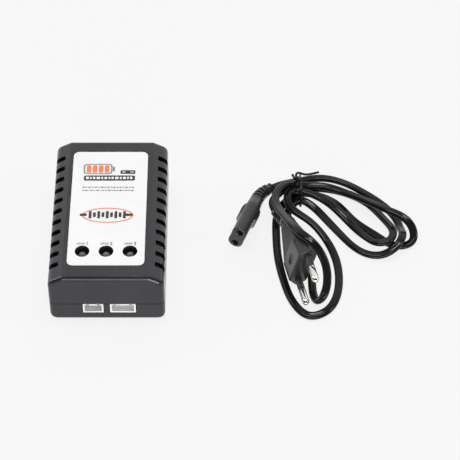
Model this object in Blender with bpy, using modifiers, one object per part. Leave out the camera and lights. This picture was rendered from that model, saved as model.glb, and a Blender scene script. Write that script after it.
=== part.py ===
"""Two-cell and three-cell balance charger with its detachable mains lead, in metres, +Z up.

The charger stands on its base with the balance sockets facing -Y and the mains inlet facing +Y. The origin
is the middle of the base. The mains lead lies beside it at +X, coiled loosely and held by a wire tie.
"""

import math

import bmesh
import bpy
import numpy as np
from mathutils import Matrix, Vector

MM = 0.001
GAP = 0.3

# Case, in millimetres like every size below
CASE_WIDTH = 56.0
CASE_LENGTH = 91.2
CASE_HEIGHT = 30.6
CROWN_HALF_WIDTH = 20.8
CROWN_DROP = 4.0
SEAM_HEIGHT = 11.6
WALL = 2.0
FLOOR = 1.5
BASE_RADIUS = 3.5
SHOULDER_RADIUS = 4.0
CROWN_RADIUS = 1.5
END_ROUNDING = 2.0
END_STEPS = 4
LEAST_RADIUS = 0.5

# Vents in both shoulders
VENT_COUNT = 11
VENT_PITCH = 7.0
VENT_WIDTH = 3.0
VENT_INNER_X = 22.6
VENT_BOTTOM = 16.0

# Face label and the lamps under it
LABEL_WIDTH = 37.3
LABEL_LENGTH = 75.0
LABEL_X = -0.3
LABEL_Y = 0.4
LABEL_RADIUS = 2.8
LABEL_THICKNESS = 0.3
LAMP_COUNT = 3
LAMP_PITCH = 11.55
LAMP_Y = -28.1
LAMP_DISH_RADIUS = 3.6
LAMP_BORE_RADIUS = 2.35
LAMP_SEAT_RADIUS = 4.6
LAMP_SEAT_DEPTH = 4.2
LAMP_RADIUS = 2.0
LAMP_TOP_BELOW_FACE = 1.4
LAMP_BODY = 5.4
LAMP_FLANGE_RADIUS = 2.45
LAMP_FLANGE = 1.0
SPACER_RADIUS = 2.5

# Circuit board
BOARD_THICKNESS = 1.6
BOARD_UNDERSIDE = 3.5
BOARD_MARGIN = 0.6
BOARD_TOP = BOARD_UNDERSIDE + BOARD_THICKNESS
PIECE_BASE = BOARD_TOP + GAP

# Screws and their bosses
SCREW_X = 18.5
SCREW_FRONT_Y = -29.5
SCREW_BACK_Y = 35.5
SCREW_RADIUS = 1.3
SCREW_HEAD_RADIUS = 2.6
SCREW_HEAD_HEIGHT = 1.8
SCREW_LENGTH = 13.0
SCREW_RECESS = 2.6
LOWER_BOSS_RADIUS = 4.1
LOWER_BOSS_TOP = 7.0
UPPER_BOSS_RADIUS = 3.5

# Balance sockets: housings of 2.5 mm pitch, entered from the front
SOCKET_PITCH = 2.5
SOCKET_END_MARGIN = 2.45
SOCKET_HEIGHT = 6.1
SOCKET_DEPTH = 9.6
SOCKET_WALL = 0.75
SOCKET_BACK = 1.6
SOCKET_KEY_WIDTH = 1.6
SOCKET_KEY_DEPTH = 6.0
SOCKETS = {"2s": (-6.79, 3), "3s": (7.61, 4)}
SOCKET_PIN = 0.64
SOCKET_PIN_SETBACK = 4.4
SOCKET_PIN_TAIL = 1.5

# Mains inlet, a two-pole figure-eight socket
INLET_WIDTH = 20.0
INLET_HEIGHT = 13.0
INLET_DEPTH = 18.0
INLET_MOUTH_WIDTH = 16.4
INLET_MOUTH_HEIGHT = 9.3
INLET_MOUTH_DEPTH = 13.0
INLET_PIN_SPACING = 8.6
INLET_PIN_RADIUS = 1.18
INLET_PIN_LENGTH = 10.0
INLET_PIN_TAIL = 1.5

# Rating plate let into the base, left blank
PLATE_WIDTH = 32.0
PLATE_LENGTH = 22.0
PLATE_Y = 8.0
PLATE_RADIUS = 2.0
PLATE_THICKNESS = 0.3
PLATE_SETBACK = 0.1

# Mains lead
CORD_RADIUS = 2.0
CORD_SAMPLES = 84
BEND_SHARE = 12.0
CORD_ROUTE = [
    (81.4, 35.1, 7.2), (86.6, 39.0, 5.6), (95.0, 42.9, 3.9), (105.5, 46.4, 2.6), (117.0, 44.0, 2.3),
    (128.0, 36.6, 2.3), (138.0, 27.2, 2.3), (143.8, 18.4, 2.3), (145.6, 10.6, 3.4), (145.8, 2.6, 7.0),
    (143.0, -3.4, 6.8), (135.6, -6.6, 3.6), (126.0, -3.8, 2.3), (116.5, 6.2, 2.3), (107.0, 20.0, 2.3),
    (101.0, 27.0, 3.0), (95.0, 29.4, 3.9), (90.4, 26.4, 2.6), (88.8, 20.0, 2.3), (91.6, 10.0, 2.3),
    (96.6, -2.0, 2.3), (99.4, -13.0, 2.3), (100.0, -23.0, 2.3), (100.6, -32.0, 2.7), (102.8, -38.2, 5.6),
    (105.2, -38.6, 10.4), (106.8, -33.2, 15.4), (105.4, -26.6, 21.4), (100.2, -20.6, 27.4),
    (93.4, -13.6, 28.2), (87.4, 0.6, 22.4), (83.6, 13.4, 16.4), (82.4, 23.0, 13.6), (85.4, 31.0, 12.0),
    (90.0, 35.2, 10.2), (95.0, 36.1, 8.0), (106.0, 36.6, 6.8), (118.0, 32.2, 6.8), (129.5, 24.6, 8.2),
    (139.0, 17.4, 9.8), (146.0, 13.4, 9.4), (151.0, 8.4, 6.8), (151.2, 3.0, 3.4), (145.6, 0.4, 2.3),
    (133.5, 6.8, 2.3), (122.0, 17.6, 2.3), (112.6, 30.0, 2.3), (104.0, 34.2, 2.8), (95.0, 34.0, 3.9),
    (88.2, 30.4, 2.4), (84.2, 23.4, 2.3), (82.8, 9.0, 2.3), (83.6, -8.0, 2.3), (86.6, -24.5, 2.3),
    (91.4, -37.8, 2.3), (98.6, -44.6, 2.3), (106.2, -42.0, 2.3), (111.6, -33.4, 2.4), (113.4, -22.0, 2.4),
    (112.0, -7.6, 2.6), (106.4, 5.0, 4.4), (98.2, 14.0, 6.8), (90.6, 20.6, 8.0), (88.6, 26.4, 8.8),
    (90.4, 31.0, 8.7), (95.2, 31.9, 8.0), (103.4, 29.6, 7.0), (112.0, 22.4, 6.6), (121.5, 11.4, 4.6), (129.0, 2.4, 5.0),
    (134.2, -1.6, 6.4), (138.8, -0.6, 7.0), (141.2, 4.0, 6.6), (140.6, 10.0, 5.2), (137.0, 18.0, 3.4), (130.5, 28.0, 2.5),
    (120.0, 35.8, 2.3), (108.5, 39.0, 2.5), (95.0, 38.3, 3.9), (89.6, 36.0, 6.0), (85.0, 31.2, 7.6),
    (81.2, 24.6, 8.0), (82.3, 18.4, 8.3),
]

# Appliance connector at the start of the lead, standing on its narrow side
CONNECTOR_NOSE = (63.0, 0.6, 7.5)
CONNECTOR_TURN = -21.5
CONNECTOR_LEAN = 17.0
CONNECTOR_WIDTH = 7.7
CONNECTOR_HEIGHT = 14.6
CONNECTOR_BARREL = 26.2
CONNECTOR_NECK = (7.0, 10.4)
CONNECTOR_RELIEF_PATH = ((0.0, 26.2, 0.0), (0.3, 33.5, 0.1), (3.8, 38.1, 0.9))
CONNECTOR_HOLE_SPACING = 8.6
CONNECTOR_HOLE_RADIUS = 1.3
CONNECTOR_HOLE_DEPTH = 13.0
CONTACT_WALL = 0.35
CONTACT_SETBACK = 1.5
RELIEF_END_RADIUS = 2.9

# Mains plug at the end of the lead, standing on its narrow side
PLUG_FACE = (95.3, -23.6, 12.9)
PLUG_TURN = 13.0
PLUG_LEAN = 15.0
PLUG_HEIGHT = 26.0
PLUG_FLAT = 19.0
PLUG_THICKNESS = 9.4
PLUG_BLOCK = 11.5
PLUG_GRIP_END = 28.5
PLUG_NECK = (10.0, 5.0, 7.0)
PLUG_RELIEF_PATH = ((0.0, 28.5, 0.0), (-0.4, 36.4, -4.2), (-1.7, 42.8, -5.1))
PLUG_PIN_RADIUS = 1.8
PLUG_PIN_SHANK_RADIUS = 1.2
PLUG_PIN_SPACING = 16.6
PLUG_PIN_LENGTH = 17.0
PLUG_PIN_INSERTION = 7.0
PLUG_SLEEVE_LENGTH = 7.0

# Wire tie round the six strands of the lead
TIE_RADIUS = 0.6
TIE_ROUTE = [
    (91.4, 37.8, 13.8), (92.7, 37.0, 12.5), (94.1, 38.8, 10.6), (95.0, 42.4, 7.8), (95.6, 45.9, 5.2),
    (95.9, 45.9, 1.6), (95.6, 41.0, 0.8), (95.2, 35.0, 0.8), (95.2, 30.0, 0.9), (95.4, 26.8, 2.1),
    (95.6, 26.2, 5.0), (95.8, 27.8, 9.0), (95.6, 30.8, 11.2), (95.2, 33.6, 12.4), (95.4, 35.4, 13.5),
    (96.9, 37.0, 14.2), (100.0, 38.6, 13.6), (104.8, 40.2, 13.0),
]

BASE_COLOURS = {
    "case_plastic": ((0.045, 0.042, 0.046), 0.45, 0.0),
    "label_film": ((0.86, 0.86, 0.86), 0.35, 0.0),
    "socket_nylon": ((0.82, 0.81, 0.76), 0.5, 0.0),
    "lamp_lens": ((0.55, 0.56, 0.56), 0.15, 0.0),
    "spacer_plastic": ((0.03, 0.03, 0.03), 0.5, 0.0),
    "plated_pin": ((0.75, 0.74, 0.7), 0.25, 1.0),
    "board_laminate": ((0.03, 0.16, 0.06), 0.5, 0.0),
    "ferrite": ((0.05, 0.05, 0.05), 0.6, 0.0),
    "coil_tape": ((0.75, 0.55, 0.08), 0.5, 0.0),
    "capacitor_sleeve": ((0.02, 0.03, 0.1), 0.4, 0.0),
    "chip_resin": ((0.02, 0.02, 0.02), 0.6, 0.0),
    "ceramic_disc": ((0.05, 0.2, 0.55), 0.5, 0.0),
    "aluminium_plate": ((0.6, 0.6, 0.62), 0.4, 1.0),
    "screw_steel": ((0.3, 0.3, 0.3), 0.35, 1.0),
    "lead_vinyl": ((0.018, 0.017, 0.02), 0.4, 0.0),
    "contact_brass": ((0.7, 0.5, 0.2), 0.3, 1.0),
}


# Scene and materials


def clear_scene():
    for obj in list(bpy.data.objects):
        bpy.data.objects.remove(obj, do_unlink=True)


def make_collection(name, helpers=False):
    collection = bpy.data.collections.new(name)
    bpy.context.scene.collection.children.link(collection)
    collection.hide_render = helpers
    return collection


def make_materials():
    made = {}
    for name, (colour, roughness, metallic) in BASE_COLOURS.items():
        material = bpy.data.materials.new(name)
        material.use_nodes = True
        shader = material.node_tree.nodes["Principled BSDF"]
        shader.inputs["Base Color"].default_value = (*colour, 1.0)
        shader.inputs["Roughness"].default_value = roughness
        shader.inputs["Metallic"].default_value = metallic
        made[name] = material
    return made


clear_scene()
PARTS = make_collection("balance_charger")
CUTTERS = make_collection("cutters", helpers=True)
MATERIALS = make_materials()


def make_frame(name, place=(0.0, 0.0, 0.0), lean=0.0, turn=0.0, parent=None):
    frame = bpy.data.objects.new(name, None)
    frame.location = [value * MM for value in place]
    frame.rotation_euler = (0.0, math.radians(lean), math.radians(turn))
    frame.parent = parent
    PARTS.objects.link(frame)
    return frame


# Shapes. Sizes come in millimetres and meshes are in metres.


def finish(name, mesh, material, parent, sharp=35.0):
    """Link a mesh as a sub-part, shaded smooth except at edges sharper than the given angle."""
    obj = bpy.data.objects.new(name, mesh)
    PARTS.objects.link(obj)
    obj.parent = parent
    mesh.materials.append(MATERIALS[material])
    mesh.shade_smooth()
    mesh.set_sharp_from_angle(angle=math.radians(sharp))
    return obj


def as_cutter(name, mesh, parent=None):
    obj = bpy.data.objects.new(name, mesh)
    CUTTERS.objects.link(obj)
    obj.parent = parent
    obj.hide_render = True
    obj.display_type = "WIRE"
    return obj


def mesh_from(name, build):
    """A mesh built by a function that fills a bmesh in millimetres."""
    shape = bmesh.new()
    build(shape)
    bmesh.ops.recalc_face_normals(shape, faces=shape.faces)
    bmesh.ops.scale(shape, vec=(MM, MM, MM), verts=shape.verts)
    mesh = bpy.data.meshes.new(name)
    shape.to_mesh(mesh)
    shape.free()
    return mesh


def add_box(shape, low, high):
    low, high = Vector(low), Vector(high)
    size = Matrix.Diagonal((*(high - low), 1.0))
    bmesh.ops.create_cube(shape, size=1.0, matrix=Matrix.Translation((low + high) / 2) @ size)


def add_cylinder(shape, start, end, radius, end_radius=None, segments=16):
    start, end = Vector(start), Vector(end)
    turn = (end - start).to_track_quat("Z", "Y").to_matrix().to_4x4()
    bmesh.ops.create_cone(
        shape,
        cap_ends=True,
        segments=segments,
        radius1=radius,
        radius2=radius if end_radius is None else end_radius,
        depth=(end - start).length,
        matrix=Matrix.Translation((start + end) / 2) @ turn,
    )


def box_mesh(name, *corners):
    def build(shape):
        for low, high in corners:
            add_box(shape, low, high)

    return mesh_from(name, build)


def cylinder_mesh(name, *rods, segments=16):
    def build(shape):
        for rod in rods:
            add_cylinder(shape, *rod, segments=segments)

    return mesh_from(name, build)


def rounded(corners, radii, steps=4):
    """The outline through the corners, each rounded by an arc of its own radius."""
    outline = []
    count = len(corners)
    for index, radius in enumerate(radii):
        corner = Vector(corners[index])
        before = (Vector(corners[index - 1]) - corner).normalized()
        after = (Vector(corners[(index + 1) % count]) - corner).normalized()
        if radius <= 0.0:
            outline.append(tuple(corner))
            continue
        half = before.angle(after) / 2
        centre = corner + (before + after).normalized() * (radius / math.sin(half))
        first = corner + before * (radius / math.tan(half)) - centre
        last = corner + after * (radius / math.tan(half)) - centre
        sweep = math.pi - 2 * half
        for step in range(steps + 1):
            share = step / steps
            weight_first = math.sin((1 - share) * sweep) / math.sin(sweep)
            weight_last = math.sin(share * sweep) / math.sin(sweep)
            outline.append(tuple(centre + first * weight_first + last * weight_last))
    return outline


def rectangle(width, length, radius, steps=4, centre=(0.0, 0.0)):
    x, y = width / 2, length / 2
    corners = [(-x, -y), (x, -y), (x, y), (-x, y)]
    moved = [(px + centre[0], py + centre[1]) for px, py in corners]
    return rounded(moved, [radius] * 4, steps)


def plate_mesh(name, outlines, start, end, upright=False):
    """Flat outlines given a thickness: in XY from z start to end or, upright, in XZ from y start to end."""
    curve = bpy.data.curves.new(name, "CURVE")
    curve.dimensions = "2D"
    curve.fill_mode = "BOTH"
    curve.extrude = abs(end - start) / 2 * MM
    for outline in outlines:
        spline = curve.splines.new("POLY")
        spline.points.add(len(outline) - 1)
        for point, (x, y) in zip(spline.points, outline):
            point.co = (x * MM, y * MM, 0.0, 1.0)
        spline.use_cyclic_u = True
    holder = bpy.data.objects.new(name + "_outline", curve)
    CUTTERS.objects.link(holder)
    bpy.context.view_layer.update()
    graph = bpy.context.evaluated_depsgraph_get()
    mesh = bpy.data.meshes.new_from_object(holder.evaluated_get(graph))
    bpy.data.objects.remove(holder)
    shape = bmesh.new()
    shape.from_mesh(mesh)
    bmesh.ops.remove_doubles(shape, verts=shape.verts, dist=0.001 * MM)
    middle = (start + end) / 2 * MM
    if upright:
        stand = Matrix.Translation((0, middle, 0)) @ Matrix.Rotation(math.radians(90), 4, "X")
        shape.transform(stand)
    else:
        shape.transform(Matrix.Translation((0, 0, middle)))
    bmesh.ops.recalc_face_normals(shape, faces=shape.faces)
    shape.to_mesh(mesh)
    shape.free()
    mesh.name = name
    return mesh


def boolean(obj, cutter, operation="DIFFERENCE"):
    modifier = obj.modifiers.new(f"{operation.lower()}_{cutter.name}", "BOOLEAN")
    modifier.operation = operation
    modifier.solver = "EXACT"
    modifier.object = cutter
    return modifier


def turned(name, profile, material, parent, place, steps=16, axis_turn=None):
    """A profile of (radius, height) points, top to bottom, turned round the vertical axis."""
    shape = bmesh.new()
    points = [shape.verts.new((radius * MM, 0.0, height * MM)) for radius, height in profile]
    for first, second in zip(points, points[1:]):
        shape.edges.new((first, second))
    mesh = bpy.data.meshes.new(name)
    shape.to_mesh(mesh)
    shape.free()
    obj = finish(name, mesh, material, parent)
    screw = obj.modifiers.new("turn", "SCREW")
    screw.steps = steps
    screw.render_steps = steps
    screw.use_merge_vertices = True
    screw.merge_threshold = 0.00001
    obj.location = [value * MM for value in place]
    if axis_turn is not None:
        obj.rotation_euler = [math.radians(angle) for angle in axis_turn]
    return obj


def loft_mesh(name, rings):
    """A closed skin over rings of equally many points, with a flat cap at each end."""

    def build(shape):
        rows = [[shape.verts.new(point) for point in ring] for ring in rings]
        for near, far in zip(rows, rows[1:]):
            for index in range(len(near)):
                following = (index + 1) % len(near)
                shape.faces.new((near[index], near[following], far[following], far[index]))
        shape.faces.new(rows[0])
        shape.faces.new(rows[-1])

    return mesh_from(name, build)


def smooth_route(points, count):
    """Points along the smooth cubic through a route, closer together where it bends."""
    knots = np.array(points, float)
    stations = np.concatenate([[0.0], np.cumsum(np.linalg.norm(np.diff(knots, axis=0), axis=1))])
    spans = np.diff(stations)
    matrix = np.eye(len(knots))
    rates = np.zeros_like(knots)
    for row in range(1, len(knots) - 1):
        matrix[row, row - 1 : row + 2] = spans[row - 1], 2 * (spans[row - 1] + spans[row]), spans[row]
        ahead = (knots[row + 1] - knots[row]) / spans[row]
        behind = (knots[row] - knots[row - 1]) / spans[row - 1]
        rates[row] = 6 * (ahead - behind)
    bends = np.linalg.solve(matrix, rates)
    fine = np.linspace(0.0, stations[-1], 40 * count)
    index = np.clip(np.searchsorted(stations, fine, side="right") - 1, 0, len(spans) - 1)
    span = spans[index][:, None]
    left = (stations[index + 1] - fine)[:, None]
    right = (fine - stations[index])[:, None]
    curve = (
        (bends[index] * left**3 + bends[index + 1] * right**3) / (6 * span)
        + (knots[index] / span - bends[index] * span / 6) * left
        + (knots[index + 1] / span - bends[index + 1] * span / 6) * right
    )
    steps = np.linalg.norm(np.diff(curve, axis=0), axis=1)
    headings = np.diff(curve, axis=0) / steps[:, None]
    turning = np.linalg.norm(np.diff(headings, axis=0, append=headings[-1:]), axis=1)
    walked = np.concatenate([[0.0], np.cumsum(steps + BEND_SHARE * turning)])
    even = np.linspace(0.0, walked[-1], count)
    return np.stack([np.interp(even, walked, curve[:, axis]) for axis in range(3)], axis=1)


def tube(name, points, radius, material, parent):
    """A round wire through the points, on or above the ground."""
    curve = bpy.data.curves.new(name, "CURVE")
    curve.dimensions = "3D"
    curve.bevel_depth = radius * MM
    curve.bevel_resolution = 2
    curve.use_fill_caps = True
    spline = curve.splines.new("POLY")
    spline.points.add(len(points) - 1)
    for point, (x, y, z) in zip(spline.points, points):
        height = max(z, radius + 0.1)
        point.co = (x * MM, y * MM, height * MM, 1.0)
    curve.materials.append(MATERIALS[material])
    obj = bpy.data.objects.new(name, curve)
    PARTS.objects.link(obj)
    obj.parent = parent
    return obj


# Case


def case_outline(inset, base):
    """The case's cross-section in XZ, moved inwards by inset at the sides and the crown and by base at the bottom."""
    slope = math.atan2(CROWN_DROP, CASE_WIDTH / 2 - CROWN_HALF_WIDTH)
    side = CASE_WIDTH / 2 - inset
    top = CASE_HEIGHT - inset
    lowered = inset / math.cos(slope)
    shoulder = CASE_HEIGHT - (side - CROWN_HALF_WIDTH) * math.tan(slope) - lowered
    crown = CROWN_HALF_WIDTH + (inset - lowered) / math.tan(slope)
    right = [(side, base), (side, shoulder), (crown, top)]
    left = [(-x, z) for x, z in reversed(right)]
    trims = [max(radius - inset, LEAST_RADIUS) for radius in (BASE_RADIUS, SHOULDER_RADIUS, CROWN_RADIUS)]
    return rounded(right + left, trims + trims[::-1], steps=3)


def case_body(name, parent):
    """The whole case as one block with rounded ends, before it is hollowed and parted at the seam."""
    rings = []
    for step in range(END_STEPS + 1):
        angle = math.pi / 2 * step / END_STEPS
        inset = END_ROUNDING * (1 - math.sin(angle))
        y = CASE_LENGTH / 2 - END_ROUNDING * (1 - math.cos(angle))
        rings.append([(x, y, z) for x, z in case_outline(inset, inset)])
    rings += [[(x, -y, z) for x, y, z in ring] for ring in reversed(rings)]
    return finish(name, loft_mesh(name, rings), "case_plastic", parent)


def screw_places():
    return [(x, y) for y in (SCREW_FRONT_Y, SCREW_BACK_Y) for x in (-SCREW_X, SCREW_X)]


def lamp_places():
    first = LABEL_X - LAMP_PITCH * (LAMP_COUNT - 1) / 2
    return [(first + LAMP_PITCH * index, LAMP_Y) for index in range(LAMP_COUNT)]


def socket_width(ways):
    return SOCKET_PITCH * (ways - 1) + 2 * SOCKET_END_MARGIN


def inlet_box(margin):
    """The mains inlet's block, grown by a margin, and run out through the back wall when it is."""
    half = INLET_WIDTH / 2 + margin
    back = CASE_LENGTH / 2 + (WALL if margin else 0.0)
    low = (-half, CASE_LENGTH / 2 - INLET_DEPTH - margin, PIECE_BASE - margin)
    return low, (half, back, PIECE_BASE + INLET_HEIGHT + margin)


def vent_outline(side, y):
    """One slot, round at its inner end and open past the case's side."""
    outer = CASE_WIDTH / 2 + WALL
    half = VENT_WIDTH / 2
    corners = [(VENT_INNER_X, y - half), (outer, y - half), (outer, y + half), (VENT_INNER_X, y + half)]
    outline = rounded(corners, [0.98 * half, 0.0, 0.0, 0.98 * half], steps=3)
    return [(side * x, py) for x, py in outline]


def make_case(parent):
    half = CASE_LENGTH / 2
    inner_ends = half - WALL
    cavity = as_cutter("cavity", plate_mesh("cavity", [case_outline(WALL, FLOOR)], -inner_ends, inner_ends, True))
    wide, long, tall = CASE_WIDTH, CASE_LENGTH, CASE_HEIGHT
    below = box_mesh("below_seam", ((-wide, -long, -tall), (wide, long, SEAM_HEIGHT + GAP)))
    above = box_mesh("above_seam", ((-wide, -long, SEAM_HEIGHT), (wide, long, 2 * tall)))
    inlet = as_cutter("inlet_cut", box_mesh("inlet_cut", inlet_box(GAP)))

    upper = case_body("upper_shell", parent)
    boolean(upper, cavity)
    roof = tall - WALL
    posts = [((x, y, LOWER_BOSS_TOP + GAP), (x, y, roof + WALL / 2), UPPER_BOSS_RADIUS) for x, y in screw_places()]
    seats = [((x, y, roof - LAMP_SEAT_DEPTH), (x, y, roof + WALL / 2), LAMP_SEAT_RADIUS) for x, y in lamp_places()]
    boolean(upper, as_cutter("upper_posts", cylinder_mesh("upper_posts", *posts)), "UNION")
    boolean(upper, as_cutter("lamp_seats", cylinder_mesh("lamp_seats", *seats)), "UNION")
    screw_top = SCREW_RECESS + SCREW_LENGTH + GAP
    bores = [((x, y, 0.0), (x, y, screw_top), SCREW_RADIUS + GAP) for x, y in screw_places()]
    boolean(upper, as_cutter("screw_bores", cylinder_mesh("screw_bores", *bores)))
    boolean(upper, inlet)
    vent_rows = [VENT_PITCH * (index - (VENT_COUNT - 1) / 2) for index in range(VENT_COUNT)]
    slots = [vent_outline(side, y) for side in (-1, 1) for y in vent_rows]
    boolean(upper, as_cutter("vents", plate_mesh("vents", slots, VENT_BOTTOM, tall + WALL)))
    recess = rectangle(LABEL_WIDTH + 2 * GAP, LABEL_LENGTH + 2 * GAP, LABEL_RADIUS, 4, (LABEL_X, LABEL_Y))
    recess_floor = tall - LABEL_THICKNESS - GAP
    boolean(upper, as_cutter("label_recess", plate_mesh("label_recess", [recess], recess_floor, tall + WALL)))
    dish_bottom = roof - LAMP_SEAT_DEPTH / 2
    dishes = [((x, y, dish_bottom), (x, y, tall), LAMP_BORE_RADIUS, LAMP_DISH_RADIUS) for x, y in lamp_places()]
    boolean(upper, as_cutter("lamp_dishes", cylinder_mesh("lamp_dishes", *dishes, segments=24)))
    pockets = [((x, y, roof - LAMP_SEAT_DEPTH - 1), (x, y, dish_bottom + 0.5), SPACER_RADIUS + GAP) for x, y in lamp_places()]
    boolean(upper, as_cutter("lamp_pockets", cylinder_mesh("lamp_pockets", *pockets)))
    boolean(upper, as_cutter("below_seam", below))

    lower = case_body("lower_shell", parent)
    boolean(lower, cavity)
    feet = [((x, y, FLOOR / 2), (x, y, LOWER_BOSS_TOP), LOWER_BOSS_RADIUS) for x, y in screw_places()]
    boolean(lower, as_cutter("lower_bosses", cylinder_mesh("lower_bosses", *feet)), "UNION")
    boolean(lower, bpy.data.objects["screw_bores"])
    recesses = [((x, y, -1.0), (x, y, SCREW_RECESS), SCREW_HEAD_RADIUS + GAP) for x, y in screw_places()]
    boolean(lower, as_cutter("screw_recesses", cylinder_mesh("screw_recesses", *recesses)))
    boolean(lower, inlet)
    notches = []
    for x, ways in SOCKETS.values():
        side = socket_width(ways) / 2 + GAP
        notches.append(((x - side, -half - 1, BOARD_TOP), (x + side, -half + SOCKET_DEPTH, 2 * SEAM_HEIGHT)))
    boolean(lower, as_cutter("socket_notches", box_mesh("socket_notches", *notches)))
    plate = rectangle(PLATE_WIDTH + 2 * GAP, PLATE_LENGTH + 2 * GAP, PLATE_RADIUS, 3, (0.0, PLATE_Y))
    plate_recess = PLATE_SETBACK + PLATE_THICKNESS + GAP
    boolean(lower, as_cutter("plate_recess", plate_mesh("plate_recess", [plate], -1.0, plate_recess)))
    boolean(lower, as_cutter("above_seam", above))


def make_labels(parent):
    top = CASE_HEIGHT
    outline = rectangle(LABEL_WIDTH, LABEL_LENGTH, LABEL_RADIUS, 4, (LABEL_X, LABEL_Y))
    mesh = plate_mesh("face_label", [outline], top - LABEL_THICKNESS, top)
    label = finish("face_label", mesh, "label_film", parent)
    holes = [((x, y, top - 2), (x, y, top + 2), LAMP_DISH_RADIUS) for x, y in lamp_places()]
    boolean(label, as_cutter("label_holes", cylinder_mesh("label_holes", *holes, segments=24)))
    outline = rectangle(PLATE_WIDTH, PLATE_LENGTH, PLATE_RADIUS, 3, (0.0, PLATE_Y))
    mesh = plate_mesh("rating_plate", [outline], PLATE_SETBACK, PLATE_SETBACK + PLATE_THICKNESS)
    finish("rating_plate", mesh, "label_film", parent)


def make_screws(parent):
    head, shank = SCREW_HEAD_RADIUS, SCREW_RADIUS
    socket = 0.45 * head
    profile = [(0.0, SCREW_LENGTH), (shank * 0.4, SCREW_LENGTH), (shank, SCREW_LENGTH - 2.0), (shank, 0.0)]
    profile += [(head, 0.0), (head, -0.5 * SCREW_HEAD_HEIGHT), (0.7 * head, -SCREW_HEAD_HEIGHT)]
    profile += [(socket, -SCREW_HEAD_HEIGHT), (socket * 0.8, -0.4 * SCREW_HEAD_HEIGHT), (0.0, -0.4 * SCREW_HEAD_HEIGHT)]
    for number, (x, y) in enumerate(screw_places(), start=1):
        turned(f"case_screw_{number}", profile, "screw_steel", parent, (x, y, SCREW_RECESS - GAP), 12)


def make_lamps(parent):
    top = CASE_HEIGHT - LAMP_TOP_BELOW_FACE
    flange_bottom = top - LAMP_BODY
    dome = [math.radians(angle) for angle in range(0, 91, 18)]
    profile = [(LAMP_RADIUS * math.sin(a), LAMP_BODY - LAMP_RADIUS * (1 - math.cos(a))) for a in dome]
    profile += [(LAMP_RADIUS, LAMP_FLANGE), (LAMP_FLANGE_RADIUS, LAMP_FLANGE), (LAMP_FLANGE_RADIUS, 0.0), (0.0, 0.0)]
    for number, (x, y) in enumerate(lamp_places(), start=1):
        turned(f"lamp_lens_{number}", profile, "lamp_lens", parent, (x, y, flange_bottom), 16)
        mesh = cylinder_mesh("spacer", ((x, y, PIECE_BASE), (x, y, flange_bottom - GAP), SPACER_RADIUS))
        finish(f"lamp_spacer_{number}", mesh, "spacer_plastic", parent)


# Circuit board and what stands on it


def make_board(parent):
    width = CASE_WIDTH - 2 * (WALL + BOARD_MARGIN)
    length = CASE_LENGTH - 2 * (WALL + BOARD_MARGIN)
    outline = rectangle(width, length, BASE_RADIUS, 2)
    mesh = plate_mesh("circuit_board", [outline], BOARD_UNDERSIDE, BOARD_TOP)
    board = finish("circuit_board", mesh, "board_laminate", parent)
    clear = [((x, y, 0.0), (x, y, SEAM_HEIGHT), LOWER_BOSS_RADIUS + GAP) for x, y in screw_places()]
    boolean(board, as_cutter("boss_clearances", cylinder_mesh("boss_clearances", *clear)))


def make_sockets(parent):
    front = -CASE_LENGTH / 2
    bottom = PIECE_BASE
    top = bottom + SOCKET_HEIGHT
    for name, (x, ways) in SOCKETS.items():
        half = socket_width(ways) / 2
        block = ((x - half, front, bottom), (x + half, front + SOCKET_DEPTH, top))
        housing = finish(f"balance_socket_{name}", box_mesh("housing", block), "socket_nylon", parent)
        back = front + SOCKET_DEPTH - SOCKET_BACK
        inside = ((x - half + SOCKET_WALL, front - 1, bottom + SOCKET_WALL), (x + half - SOCKET_WALL, back, top - SOCKET_WALL))
        boolean(housing, as_cutter(f"cavity_{name}", box_mesh("cavity", inside)))
        keys = []
        for side in (-1, 1):
            middle = x + side * (half - SOCKET_END_MARGIN + 0.2)
            low = (middle - SOCKET_KEY_WIDTH / 2, front - 1, top - 1.5 * SOCKET_WALL)
            keys.append((low, (middle + SOCKET_KEY_WIDTH / 2, front + SOCKET_KEY_DEPTH, top + 1)))
        boolean(housing, as_cutter(f"keys_{name}", box_mesh("keys", *keys)))
        pin = SOCKET_PIN / 2
        hole = pin + GAP / 2
        middle_height = bottom + SOCKET_HEIGHT / 2
        bores = []
        for number in range(ways):
            px = x + SOCKET_PITCH * (number - (ways - 1) / 2)
            bores.append(((px - hole, back - 1, middle_height - hole), (px + hole, back + 3, middle_height + hole)))
            low = (px - pin, front + SOCKET_PIN_SETBACK, middle_height - pin)
            high = (px + pin, front + SOCKET_DEPTH + SOCKET_PIN_TAIL, middle_height + pin)
            mesh = box_mesh("pin", (low, high))
            finish(f"socket_{name}_pin_{number + 1}", mesh, "plated_pin", parent)
        boolean(housing, as_cutter(f"pin_bores_{name}", box_mesh("pin_bores", *bores)))


def make_inlet(parent):
    mesh = box_mesh("mains_inlet", inlet_box(0.0))
    inlet = finish("mains_inlet", mesh, "chip_resin", parent)
    back = CASE_LENGTH / 2
    middle = PIECE_BASE + INLET_HEIGHT / 2
    round_end = 0.49 * INLET_MOUTH_HEIGHT
    mouth = rectangle(INLET_MOUTH_WIDTH, INLET_MOUTH_HEIGHT, round_end, 5, (0.0, middle))
    floor = back - INLET_MOUTH_DEPTH
    boolean(inlet, as_cutter("inlet_mouth", plate_mesh("inlet_mouth", [mouth], floor, back + 1, True)))
    bores = []
    for side, name in ((-1, "left"), (1, "right")):
        x = side * INLET_PIN_SPACING / 2
        rear = back - INLET_DEPTH - INLET_PIN_TAIL
        bores.append(((x, rear, middle), (x, floor + 1, middle), INLET_PIN_RADIUS + GAP))
        tip = floor + INLET_PIN_LENGTH
        mesh = cylinder_mesh("pin", ((x, rear, middle), (x, tip, middle), INLET_PIN_RADIUS), segments=12)
        finish(f"inlet_pin_{name}", mesh, "plated_pin", parent)
    boolean(inlet, as_cutter("inlet_pin_bores", cylinder_mesh("inlet_pin_bores", *bores, segments=12)))


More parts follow.
